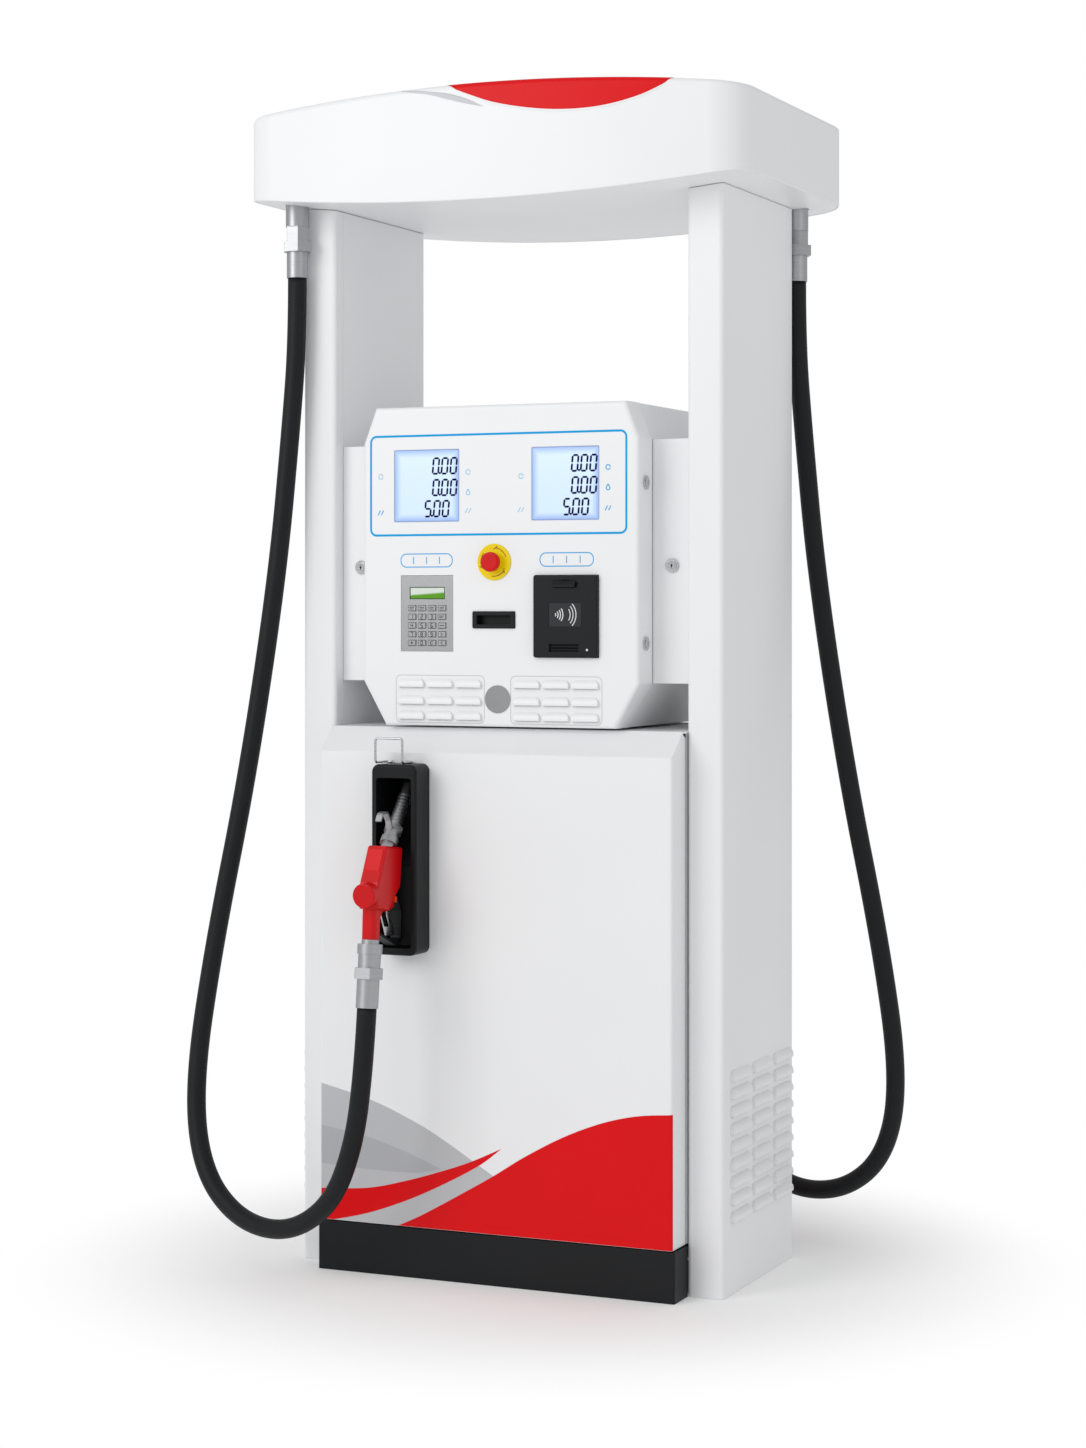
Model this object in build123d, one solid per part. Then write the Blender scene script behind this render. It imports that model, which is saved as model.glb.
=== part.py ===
"""Two-sided fuel dispenser: cabinet, head, two columns, canopy, two hoses with nozzles.

Millimetres, +Z up. The origin is the centre of the footprint on the floor, and the front is -Y.
The dispenser serves two lanes, so what stands on the front is repeated on the rear, turned half
a turn about Z.
"""
import os
from math import atan2, cos, radians, sin, tan

from build123d import *

# ---------------------------------------------------------------- overall sizes
CLEARANCE = 0.5            # gap between pieces that lie side by side
RUNNING_CLEARANCE = 0.05   # radial gap of a shaft in its hole
SHEET = 2.0                # steel sheet of covers and doors
THROUGH = 1.0              # how far a cutter reaches past the face that it opens

COLUMN_OUTER_X = 446.5     # half the width over both columns
COLUMN_WIDTH = 72.5        # width of a column seen from the front
COLUMN_DEPTH = 404.0       # depth of a column, front to rear
COLUMN_CORNER_R = 9.0
COLUMN_WRAP = 33.0         # how far the cover folds round the inner corner
COLUMN_INNER_X = COLUMN_OUTER_X - COLUMN_WIDTH

CABINET_HALF_WIDTH = COLUMN_INNER_X - 3.0
CABINET_FRONT_Y = 271.5    # distance of the door's face from the middle
DOOR_EDGE_R = 6.0
DOOR_LIP = 6.0             # thickness of the door's rear edge under the deck
KICK_HEIGHT = 96.0
KICK_HALF_WIDTH = COLUMN_INNER_X + 1.5
KICK_CORNER_R = 4.0
DOOR_GAP = 2.5
DECK_Z = 1066.0
DECK_HALF_DEPTH = COLUMN_DEPTH / 2 + 12.0
DECK_HOLE = 60.0           # half width of the cable hole from cabinet to head
DOOR_SHOULDER_Z = DECK_Z - 47.5   # where the door's face ends and its sloping top begins

# canopy
CANOPY_HALF_LENGTH = COLUMN_OUTER_X + 79.5
CANOPY_HALF_DEPTH = 308.0  # at the ends
CANOPY_BULGE = 29.0        # how much further the long sides stand out in the middle
CANOPY_CORNER_R = 72.0
CANOPY_BOTTOM_Z = 2107.0   # at the ends
CANOPY_HEIGHT = 158.5      # at the ends
CANOPY_TOP_Z = CANOPY_BOTTOM_Z + CANOPY_HEIGHT
CANOPY_SAG = 33.0          # how much lower the underside is in the middle
CANOPY_RISE = 30.5
CANOPY_WALL = 3.0
CANOPY_CROWN_R, CANOPY_FOOT_R = 10.0, 2.0
CANOPY_MARGIN = 20.0       # how far the bands that shape it reach past its outline

# head
HEAD_HALF_WIDTH = 291.5
HEAD_FRONT_Y = 241.0
HEAD_BOTTOM_Z = DECK_Z + 4.0
HEAD_HEIGHT = 621.0
HEAD_TOP_Z = HEAD_BOTTOM_Z + HEAD_HEIGHT
HEAD_SHOULDER_LOW_Z = HEAD_BOTTOM_Z + 85.0
HEAD_SHOULDER_HIGH_Z = HEAD_TOP_Z - 70.0
HEAD_BOTTOM_HALF = HEAD_HALF_WIDTH - 48.5
HEAD_TOP_HALF = HEAD_HALF_WIDTH - 26.5
HEAD_DOOR_DEPTH = 70.0
HINGE_X, HINGE_Y = 10.5 - HEAD_HALF_WIDTH, HEAD_FRONT_Y - 10.0
HINGE_R, HINGE_LENGTH, HINGE_INSET = 9.5, 40.0, 45.0
HEAD_EDGE_R = 7.0
WING_LOCK_X = (HEAD_HALF_WIDTH + COLUMN_INNER_X) / 2 - 0.75
WING_LOCK_Z = HEAD_BOTTOM_Z + 310.0
LOCK_R = 13.5
LOCK_BARREL_R = 10.0

# what the head's door carries: centre x, centre z, width, height
DISPLAY_SIZE = 139.0
DISPLAY_X = (-153.5, 140.5)
DISPLAY_Z = HEAD_BOTTOM_Z + 467.0
DISPLAY_DEPTH = 24.0
KEYPAD = (-152.5, HEAD_BOTTOM_Z + 218.5, 112.0, 147.0)
KEYPAD_DEPTH = 18.0
KEYPAD_WINDOW = (KEYPAD[0], KEYPAD[1] + 39.5, 76.0, 24.0)
KEY_COLUMNS, KEY_ROWS = 4, 5
KEY_PITCH_X, KEY_PITCH_Z = 21.6, 16.9
KEY_WIDTH, KEY_HEIGHT = 16.5, 11.0
KEY_BOTTOM_Z = KEYPAD[1] - 57.5
KEY_PROUD, KEY_TRAVEL = 2.4, 1.5
CARD_READER = (143.5, HEAD_BOTTOM_Z + 213.0, 132.5, 157.0)
CARD_READER_PROUD, CARD_READER_DEPTH = 9.0, 40.0
RECEIPT = (-9.0, HEAD_BOTTOM_Z + 206.0, 89.5, 32.0)
RECEIPT_MOUTH = (72.5, 18.0)
RECEIPT_PROUD, RECEIPT_DEPTH = 4.0, 40.0
STOP_X, STOP_Z = -8.0, HEAD_BOTTOM_Z + 317.5
STOP_COLLAR_R, STOP_BUTTON_R, STOP_STEM_R = 35.0, 19.0, 11.0
STOP_SLEEVE_R, STOP_SLEEVE = 16.0, 10.0
STOP_TRAVEL = 4.0
DOOR_LOCK_Y = HEAD_FRONT_Y - HEAD_DOOR_DEPTH / 2
DOOR_LOCK_Z = (HEAD_BOTTOM_Z + 161.5, HEAD_BOTTOM_Z + 467.0)

# louvres: width, height, stand-off
HEAD_LOUVRE = (55.0, 17.0, 6.0)
HEAD_LOUVRE_X = (-185.5, -124.0, -63.0, 60.5, 121.5, 182.5)
HEAD_LOUVRE_Z = (HEAD_BOTTOM_Z + 75.0, HEAD_BOTTOM_Z + 42.0, HEAD_BOTTOM_Z + 12.5)
COLUMN_LOUVRE = (104.0, 20.0, 7.0)
COLUMN_LOUVRE_Y = (-110.0, 10.0, 132.0)
COLUMN_LOUVRE_FIRST_Z, COLUMN_LOUVRE_PITCH, COLUMN_LOUVRE_ROWS = 137.0, 33.4, 9

# nozzle boot on the door
BOOT_X = -180.0
BOOT_WIDTH, BOOT_HEIGHT = 96.0, 367.0
BOOT_TOP_Z = DOOR_SHOULDER_Z - 20.5
BOOT_BOTTOM_Z = BOOT_TOP_Z - BOOT_HEIGHT
BOOT_PROUD = 60.0
BOOT_WALL = 3.0
BOOT_CORNER_R, BOOT_EDGE_R = 15.0, 5.0
BOOT_MOUTH_WIDTH, BOOT_MOUTH_BOTTOM_Z, BOOT_MOUTH_TOP_Z = 75.0, BOOT_BOTTOM_Z + 14.0, BOOT_TOP_Z - 26.0
BAIL_WIRE, BAIL_WIDTH, BAIL_HEIGHT, BAIL_REACH = 4.6, 58.0, 47.0, 50.0
BAIL_BEND_R, BAIL_FOOT = 6.0, 14.0
BAIL_X = BOOT_X - 15.0

# nozzle; its points are y and z from the foot of its spout
NOZZLE_X = BOOT_X - 1.0
SPOUT_FOOT = (-CABINET_FRONT_Y - 80.5, BOOT_BOTTOM_Z + 215.0)
NOZZLE_WIDTH, HANDLE_WIDTH = 42.0, 30.0
BODY_OUTLINE = [(-45, 1), (22, -7), (12, -82), (-40, -124), (-84, -116), (-88, -94), (-79, -66)]
CAP_START, CAP_END, CAP_R = (-78, -89), (-104, -90), 23.5
SPOUT_LEAN = 40.0          # degrees from upright
SPOUT_LENGTH, SPOUT_R, SPOUT_WALL = 141.0, 11.0, 2.5
SPOUT_SPIGOT, SPOUT_SPIGOT_R, SPOUT_SEAT_R = 14.0, 12.0, 17.3
SPOUT_RIBS, SPOUT_RIB_PITCH, SPOUT_RIB = 9, 7.5, 1.8
HOOK_OUTLINE = [(9, 20), (1, 46), (-14, 63), (-33, 60), (-41, 47)]
HOOK_WIDTH, HOOK_THICKNESS, HOOK_BEND_R = 12.0, 4.0, 8.0
GUARD_OUTLINE = [(12.7, -94), (36, -130), (34, -183), (14, -193), (-58, -165)]
GUARD_WIDTH, GUARD_THICKNESS, GUARD_BEND_R = 22.0, 5.0, 9.0
FORK_OUTLINE = [(-32, -96), (0, -80), (-2, -118), (-20, -124)]
LEVER_PIVOT = (SPOUT_FOOT[0] - 14.0, SPOUT_FOOT[1] - 112.0)
LEVER_WIDTH, LEVER_PIN_R, LEVER_WALL = 16.0, 3.0, 3.0
SWIVEL_TOP = (SPOUT_FOOT[0] - 74.0, SPOUT_FOOT[1] - 175.0)
SWIVEL_END = (SPOUT_FOOT[0] - 89.0, SPOUT_FOOT[1] - 303.0)
SWIVEL_SPIGOT, SWIVEL_SPIGOT_R, SWIVEL_BORE_R = 24.0, 9.0, 6.0
SWIVEL_STEPS = [(8, 17), (19, 24), (26, 21.5), (21, 26, "hex")]
SWIVEL_FERRULE_R = 21.5

# hose: the route's points, from the outlet's ferrule to the swivel's ferrule
HOSE_DIAMETER = 37.5
OUTLET_X, OUTLET_Y = 1.5 - COLUMN_OUTER_X, -COLUMN_DEPTH / 2 - 28.0
OUTLET_TOP_Z = CANOPY_BOTTOM_Z + 21.0
OUTLET_STEPS = [(28, 20), (43, 23), (29, 20.5, "hex"), (21, 26, "hex")]
OUTLET_FERRULE_R, OUTLET_BORE_R = 21.0, 12.0
HOSE_START_Z = OUTLET_TOP_Z - 173.0
HOSE_GAP = 0.3             # between the hose's ends and the ferrules
HOSE_ROUTE = [
    (OUTLET_X, OUTLET_Y, HOSE_START_Z),
    (OUTLET_X, OUTLET_Y, HOSE_START_Z - 124),
    (-457, -234, 1660),
    (-482, -245, 1362),
    (-538, -265, 968),
    (-601, -290, 627),
    (-633, -315, 352),
    (-597, -345, 191),
    (-500, -375, 105),
    (-373, -405, 93),
    (-262, -431, 162),
    (-205, -447, 285),
    (NOZZLE_X, -453.8, 433.8),
    (NOZZLE_X, *SWIVEL_END),
]

# frame and the brackets in it
ANCHOR_X, ANCHOR_Y, ANCHOR_R = 320.0, 150.0, 8.0
FRAME_HALF_X, FRAME_HALF_Y, FRAME_HEIGHT, FRAME_WALL = COLUMN_INNER_X - 8.0, COLUMN_DEPTH / 2 - 6.0, 60.0, 5.0
FRAME_FLANGE = 90.0        # width of the frame's floor plate, all round
POST_X, POST_SIZE, POST_WALL = COLUMN_OUTER_X - 36.5, 50.0, 3.0
BEAM_Z = CANOPY_BOTTOM_Z + 63.0
TRAY_X, TRAY_HEIGHT, TRAY_SHEET = (-310.0, 245.0), 9.5, 3.0
FOOT_Z = FRAME_HEIGHT + TRAY_HEIGHT + CLEARANCE
SHELF_SHEET, SHELF_HALF_DEPTH, SHELF_FLANGE = 4.0, 80.0, 60.0

# motor, belt and pump; an axis is y and z
MOTOR_AXIS = (60.0, 205.0)
MOTOR_R, MOTOR_LENGTH, MOTOR_X = 82.0, 230.0, -10.0
MOTOR_FINS, MOTOR_FIN_PITCH, MOTOR_FIN, MOTOR_FIN_DEPTH = 9, 22.0, 6.0, 6.0
PUMP_AXIS = (-20.0, 400.0)
PUMP_X, PUMP_LENGTH, PUMP_HALF_DEPTH, PUMP_HALF_HEIGHT = -100.0, 190.0, 80.0, 90.0
PUMP_BASE, PUMP_LEG = 8.0, 20.0
SEPARATOR_R, SEPARATOR_HEIGHT, SEPARATOR_INSET = 45.0, 50.0, 60.0
PULLEY_X, PULLEY_WIDTH = -70.0, 20.0
MOTOR_PULLEY_R, PUMP_PULLEY_R = 40.0, 90.0
SHAFT_R, SHAFT_BORE = 12.0, 59.0
BELT_WIDTH, BELT_THICKNESS, BELT_GAP = 12.0, 8.0, 0.4

# meters, valves and pipes
METER_X, METER_Z = CABINET_HALF_WIDTH - 121.0, 640.0
METER_R, METER_HEIGHT = 70.0, 150.0
METER_NECK_R, METER_NECK = 30.0, 40.0
METER_CYLINDER_R, METER_CYLINDER, METER_CYLINDER_DROP = 34.0, 30.0, 20.0
PIPE_R, PIPE_BORE_R, PIPE_BEND_R, LINK_BEND_R = 13.5, 11.0, 25.0, 16.0
PIPE_HOLE_R = PIPE_R + 3.0
FEED_Y = 45.0              # where the pipes from pump to meters run
RISER_X, RISER_Y = -METER_X, -110.0
RISER_CROSS_Z = 930.0      # where a riser crosses from the cabinet into its column
VALVE_Z, VALVE_SIZE = 825.0, 50.0
COIL_R = 18.0
INLET_X, INLET_Y = -195.0, -20.0
INLET_BORE_R, INLET_WALL = 25.0, 4.0
INLET_TOP_Z = FRAME_HEIGHT + 4.5
INLET_FLANGE_R, INLET_FLANGE, INLET_BOLT, INLET_BOLT_R = 55.0, 10.0, 30.0, 6.0

os.makedirs("parts", exist_ok=True)


# ---------------------------------------------------------------- helpers
def block(x_span, y_span, z_span):
    """Box between three pairs of limits."""
    size = [high - low for low, high in (x_span, y_span, z_span)]
    centre = [(high + low) / 2 for low, high in (x_span, y_span, z_span)]
    return Pos(*centre) * Box(*size)


def rounded_block(x_span, y_span, z_span, radius, axis=Axis.Y):
    """Box whose four edges along an axis are rounded."""
    solid = block(x_span, y_span, z_span)
    return fillet(solid.edges().filter_by(axis), radius)


def side_profile(points, x_middle, width):
    """Outline in y and z, extruded to both sides of x_middle."""
    return extrude(side_plane(x_middle) * make_face(Polyline(*points, close=True)), width / 2, both=True)


def rod(start, end, radius):
    """Round bar between two points."""
    start, end = Vector(*start), Vector(*end)
    plane = Plane(origin=start, z_dir=end - start)
    return extrude(plane * Circle(radius), (end - start).length)


def stack(plane, steps):
    """Round or hexagonal steps one after another along a plane's normal.

    Each step is (length, radius) or (length, radius, "hex").
    """
    solid, height = None, 0.0
    for step in steps:
        length, radius = step[0], step[1]
        outline = RegularPolygon(radius, 6, major_radius=False) if len(step) == 3 else Circle(radius)
        piece = extrude(plane.offset(height) * outline, length)
        solid = piece if solid is None else solid + piece
        height += length
    return solid


def arc_radii(points, share=0.45):
    """Radius of the arc at each corner of a route: as large as its two runs allow."""
    radii = []
    for before, here, after in zip(points, points[1:], points[2:]):
        run_in, run_out = Vector(*here) - Vector(*before), Vector(*after) - Vector(*here)
        half_turn = radians(run_in.get_angle(run_out)) / 2
        radii.append(share * min(run_in.length, run_out.length) / tan(half_turn))
    return radii


def side_plane(x):
    """Plane that faces +x, drawn in y and z."""
    return Plane(origin=(x, 0, 0), x_dir=(0, 1, 0), z_dir=(1, 0, 0))


def bent_strip(points, width, thickness, bend_r):
    """Flat strip bent along points in y and z, its width across x, on the nozzle's middle."""
    plane = side_plane(NOZZLE_X)
    path = plane * FilletPolyline(*points, radius=bend_r)
    start = Plane(origin=path @ 0, z_dir=path % 0, x_dir=(1, 0, 0))
    return sweep(start * Rectangle(width, thickness), path=path)


def on_nozzle(points):
    """Points given from the spout's foot, as y and z."""
    return [(SPOUT_FOOT[0] + y, SPOUT_FOOT[1] + z) for y, z in points]


def tube(points, radius, radii, bore=None):
    """Round bar or pipe along straight runs joined by tangent arcs."""
    path = FilletPolyline(*points, radius=radii) if len(points) > 2 else Line(*points)
    start = Plane(origin=path @ 0, z_dir=path % 0)
    section = Circle(radius) if bore is None else Circle(radius) - Circle(bore)
    return sweep(start * section, path=path)


def to_rear(part):
    """The same piece on the rear: half a turn about Z."""
    return Rot(0, 0, 180) * part


def write(name, *solids):
    """Write one node to its own STEP file."""
    pieces = [solid for item in solids for solid in item.solids()]
    part = pieces[0] if len(pieces) == 1 else Compound(children=pieces)
    export_step(part, f"parts/{name}.step")


def write_both(name, *solids):
    """Write a node for the front and its twin for the rear."""
    write(f"{name}_front", *solids)
    write(f"{name}_rear", *[to_rear(solid) for solid in solids])


def louvre(width, height, stand_off, wall=1.5):
    """Pressed hood that opens downwards, on the plane y = 0, and the slot behind it.

    Returns the hood and the cutter for the slot, both with their foot at the origin.
    """
    def wedge(half_width, top, depth):
        arc = ThreePointArc((0, top), (-depth * 0.80, top * 0.62), (-depth, 0))
        face = make_face(arc + Line((-depth, 0), (0, 0)) + Line((0, 0), (0, top)))
        solid = extrude(side_plane(0) * face, half_width, both=True)
        front = RectangleRounded(2 * half_width, top + height, height * 0.7)
        return solid & extrude(Plane.XZ * Pos(0, (top - height) / 2) * front, depth + THROUGH, both=True)

    hood = wedge(width / 2, height, stand_off) - wedge(width / 2 - wall, height - wall, stand_off - wall)
    slot = block((-width / 2 + 4, width / 2 - 4), (-THROUGH, SHEET + THROUGH), (0, height * 0.55))
    return hood, slot


# ---------------------------------------------------------------- canopy outline
def canopy_outline(inset):
    """Plan of the canopy, an inset smaller: long sides bowed out, corners round."""
    x, y = CANOPY_HALF_LENGTH - inset, CANOPY_HALF_DEPTH - inset
    middle = y + CANOPY_BULGE
    outline = (
        ThreePointArc((-x, -y), (0, -middle), (x, -y)) + Line((x, -y), (x, y))
        + ThreePointArc((x, y), (0, middle), (-x, y)) + Line((-x, y), (-x, -y))
    )
    return fillet(make_face(outline).vertices(), CANOPY_CORNER_R - inset)


def canopy_band(bottom_shift, top_z, rise, half_length=CANOPY_HALF_LENGTH + CANOPY_MARGIN):
    """Solid between the canopy's arched underside, raised by bottom_shift, and an arched top."""
    grow = (half_length / CANOPY_HALF_LENGTH) ** 2
    low_end, low_mid = CANOPY_BOTTOM_Z + bottom_shift, CANOPY_BOTTOM_Z - CANOPY_SAG + bottom_shift
    low_edge = low_mid + (low_end - low_mid) * grow
    high_edge = top_z + rise - rise * grow
    crown = Line((half_length, high_edge), (-half_length, high_edge))
    if rise:
        crown = ThreePointArc((half_length, high_edge), (0, top_z + rise), (-half_length, high_edge))
    face = make_face(
        ThreePointArc((-half_length, low_edge), (0, low_mid), (half_length, low_edge))
        + Line((half_length, low_edge), (half_length, high_edge))
        + crown
        + Line((-half_length, high_edge), (-half_length, low_edge))
    )
    return extrude(Plane.XZ * face, CANOPY_HALF_DEPTH + CANOPY_BULGE + CANOPY_MARGIN, both=True)


def below_canopy():
    """Everything under the canopy's underside, less a clearance."""
    reach = CANOPY_HALF_LENGTH + CANOPY_MARGIN
    space = block((-reach, reach), (-reach, reach), (-THROUGH, CANOPY_TOP_Z))
    return space - canopy_band(-CLEARANCE, CANOPY_TOP_Z + CANOPY_HEIGHT, 0)


def crown_edges(solid):
    """Edges round the canopy's arched top."""
    return [edge for edge in solid.edges() if edge.bounding_box().min.Z > CANOPY_TOP_Z - CANOPY_WALL - 1]


def canopy_plan(inset):
    """Upright prism over the canopy's outline, well above and below the canopy."""
    below = 2 * CANOPY_SAG
    return extrude(Pos(0, 0, CANOPY_BOTTOM_Z - below) * canopy_outline(inset), below + 2 * CANOPY_HEIGHT)


def make_canopy():
    outer = canopy_plan(0) & canopy_band(0, CANOPY_TOP_Z, CANOPY_RISE)
    outer = fillet(crown_edges(outer), CANOPY_CROWN_R)
    outer = fillet([edge for edge in outer.edges() if edge.bounding_box().max.Z < CANOPY_BOTTOM_Z + 10],
                   CANOPY_FOOT_R)
    inner = canopy_plan(CANOPY_WALL) & canopy_band(-CANOPY_SAG, CANOPY_TOP_Z - CANOPY_WALL, CANOPY_RISE)
    inner = fillet(crown_edges(inner), CANOPY_CROWN_R - CANOPY_WALL)
    write("canopy_shell", outer - inner)

    above = canopy_band(CLEARANCE + SHEET, CANOPY_TOP_Z + CANOPY_HEIGHT, 0)
    soffit = canopy_plan(CANOPY_WALL + CLEARANCE) & (canopy_band(CLEARANCE, CANOPY_TOP_Z, 0) - above)
    post = POST_SIZE / 2 + 2 * CLEARANCE
    outlet_hole_r = max(step[1] for step in OUTLET_STEPS[:2]) + 2 * CLEARANCE
    for side in (1, -1):
        soffit -= Pos(side * POST_X, 0, CANOPY_BOTTOM_Z) * Box(2 * post, 2 * post, CANOPY_HEIGHT)
        for x, y, radius in ((-POST_X, RISER_Y, PIPE_HOLE_R), (OUTLET_X, OUTLET_Y, outlet_hole_r)):
            soffit -= Pos(side * x, side * y, CANOPY_BOTTOM_Z) * Cylinder(radius, CANOPY_HEIGHT)
    write("canopy_soffit", soffit)


# ---------------------------------------------------------------- columns and base
def make_columns():
    half = COLUMN_DEPTH / 2
    under = below_canopy()
    high = CANOPY_TOP_Z
    outer = rounded_block((COLUMN_INNER_X, COLUMN_OUTER_X), (-half, half), (0, high), COLUMN_CORNER_R, Axis.Z)
    core = rounded_block((COLUMN_INNER_X + SHEET, COLUMN_OUTER_X - SHEET), (-half + SHEET, half - SHEET),
                         (-THROUGH, high + THROUGH), COLUMN_CORNER_R - SHEET, Axis.Z)
    seam = half - COLUMN_WRAP
    gap = block((COLUMN_INNER_X - THROUGH, COLUMN_INNER_X + SHEET + THROUGH), (-seam, seam),
                (-THROUGH, high + THROUGH))
    cover = outer - core - gap
    hood, slot = louvre(*COLUMN_LOUVRE)
    turn = Rot(0, 0, 90)
    for row in range(COLUMN_LOUVRE_ROWS):
        for y in COLUMN_LOUVRE_Y:
            place = Pos(COLUMN_OUTER_X, y, COLUMN_LOUVRE_FIRST_Z + row * COLUMN_LOUVRE_PITCH)
            cover = cover - place * turn * slot + place * turn * hood
    cover = cover & under
    write("column_cover_right", cover)
    write("column_cover_left", to_rear(cover))

    x_inner = COLUMN_INNER_X
    panel = block((x_inner, x_inner + SHEET), (-seam + CLEARANCE, seam - CLEARANCE), (0, high)) & under
    panel -= Pos(x_inner, -RISER_Y, RISER_CROSS_Z) * Rot(0, 90, 0) * Cylinder(PIPE_HOLE_R, 10 * SHEET)
    write("column_inner_panels", panel, to_rear(panel))


def make_frame():
    wall, hole_x, hole_y = FRAME_WALL, FRAME_HALF_X - FRAME_FLANGE, FRAME_HALF_Y - FRAME_FLANGE
    frame = block((-FRAME_HALF_X, FRAME_HALF_X), (-FRAME_HALF_Y, FRAME_HALF_Y), (0, FRAME_HEIGHT))
    frame -= block((-FRAME_HALF_X + wall, FRAME_HALF_X - wall), (-FRAME_HALF_Y + wall, FRAME_HALF_Y - wall),
                   (wall, FRAME_HEIGHT + THROUGH))
    frame -= block((-hole_x, hole_x), (-hole_y, hole_y), (-THROUGH, wall + THROUGH))
    for x in (-ANCHOR_X, ANCHOR_X):
        for y in (-ANCHOR_Y, ANCHOR_Y):
            frame -= Pos(x, y, 0) * Cylinder(ANCHOR_R, 4 * wall)
    write("base_frame", frame)

    posts = []
    half, hollow = POST_SIZE / 2, POST_SIZE / 2 - POST_WALL
    for x in (-POST_X, POST_X):
        post = block((x - half, x + half), (-half, half), (0, BEAM_Z - half - CLEARANCE))
        posts.append(post - block((x - hollow, x + hollow), (-hollow, hollow), (-THROUGH, BEAM_Z)))
    reach = POST_X + half
    beam = block((-reach, reach), (-half, half), (BEAM_Z - half, BEAM_Z + half))
    beam -= block((-reach - THROUGH, reach + THROUGH), (-hollow, hollow), (BEAM_Z - hollow, BEAM_Z + hollow))
    write("portal_frame", *posts, beam)


def make_brackets():
    """Tray that motor and pump stand on, and a shelf on each column for a meter."""
    low, high = TRAY_X
    reach, top = FRAME_HALF_Y, FRAME_HEIGHT + TRAY_HEIGHT
    tray = block((low, high), (-reach, reach), (FRAME_HEIGHT, top))
    tray -= block((low + TRAY_SHEET, high - TRAY_SHEET), (-reach + TRAY_SHEET, reach - TRAY_SHEET),
                  (FRAME_HEIGHT - THROUGH, top - TRAY_SHEET))
    tray -= Pos(INLET_X, INLET_Y, top) * Cylinder(INLET_BORE_R + INLET_WALL + 2, 4 * TRAY_HEIGHT)

    shelf_z = METER_Z - METER_HEIGHT / 2 - CLEARANCE
    edge = COLUMN_INNER_X - CLEARANCE
    depth = (-SHELF_HALF_DEPTH, SHELF_HALF_DEPTH)
    shelf = block((METER_X - METER_R, edge), depth, (shelf_z - SHELF_SHEET, shelf_z))
    shelf += block((edge - SHELF_SHEET, edge), depth, (shelf_z - SHELF_FLANGE, shelf_z))
    holes = [Pos(METER_X, y, shelf_z) * Cylinder(PIPE_HOLE_R, 10 * SHELF_SHEET) for y in (FEED_Y, -FEED_Y)]
    write("inner_brackets", tray, shelf - holes[0], to_rear(shelf - holes[1]))


def make_kick_plates():
    back = COLUMN_DEPTH / 2 + CLEARANCE
    width = KICK_HALF_WIDTH
    outer = rounded_block((-width, width), (-CABINET_FRONT_Y, 0), (0, KICK_HEIGHT), KICK_CORNER_R, Axis.Z)
    inner = block((-width + SHEET, width - SHEET), (-CABINET_FRONT_Y + SHEET, THROUGH),
                  (-THROUGH, KICK_HEIGHT - SHEET))
    plate = outer - inner - block((-2 * width, 2 * width), (-back, THROUGH), (-THROUGH, 2 * KICK_HEIGHT))
    write("kick_plates", plate, to_rear(plate))


# ---------------------------------------------------------------- cabinet
def make_cabinet():
    low = KICK_HEIGHT + DOOR_GAP
    back = COLUMN_DEPTH / 2
    top_y = DECK_HALF_DEPTH + CLEARANCE
    lip_z = DECK_Z - DOOR_LIP
    door = side_profile([
        (-back, low), (-CABINET_FRONT_Y, low), (-CABINET_FRONT_Y, DOOR_SHOULDER_Z), (-top_y, DECK_Z),
        (-top_y, lip_z), (-back, lip_z - 8),
    ], 0, 2 * CABINET_HALF_WIDTH)
    rim = [edge for edge in door.edges().filter_by(Axis.Z) if edge.center().Y < -CABINET_FRONT_Y + 0.01]
    door = fillet(rim, DOOR_EDGE_R)
    door -= side_profile([
        (-back + THROUGH, low + SHEET), (-CABINET_FRONT_Y + SHEET, low + SHEET),
        (-CABINET_FRONT_Y + SHEET, DOOR_SHOULDER_Z - SHEET * 0.4),
        (-top_y - 1, DECK_Z - 1.7 * SHEET), (-top_y - 1, lip_z - SHEET), (-back + THROUGH, lip_z - 8 - SHEET),
    ], 0, 2 * (CABINET_HALF_WIDTH - DOOR_EDGE_R * 0.4 - SHEET))
    half = BOOT_MOUTH_WIDTH / 2 + BOOT_WALL + CLEARANCE
    rim = BOOT_WALL + CLEARANCE
    door -= block((BOOT_X - half, BOOT_X + half),
                  (-CABINET_FRONT_Y - THROUGH, -CABINET_FRONT_Y + SHEET + THROUGH),
                  (BOOT_MOUTH_BOTTOM_Z - rim, BOOT_MOUTH_TOP_Z + rim))
    write_both("cabinet_door", door)

    x = COLUMN_INNER_X - CLEARANCE
    deck = block((-x, x), (-DECK_HALF_DEPTH, DECK_HALF_DEPTH), (DECK_Z - 2 * SHEET, DECK_Z))
    deck -= Pos(0, 0, DECK_Z) * Box(2 * DECK_HOLE, 2 * DECK_HOLE, 10 * SHEET)
    write("cabinet_deck", deck)


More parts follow.
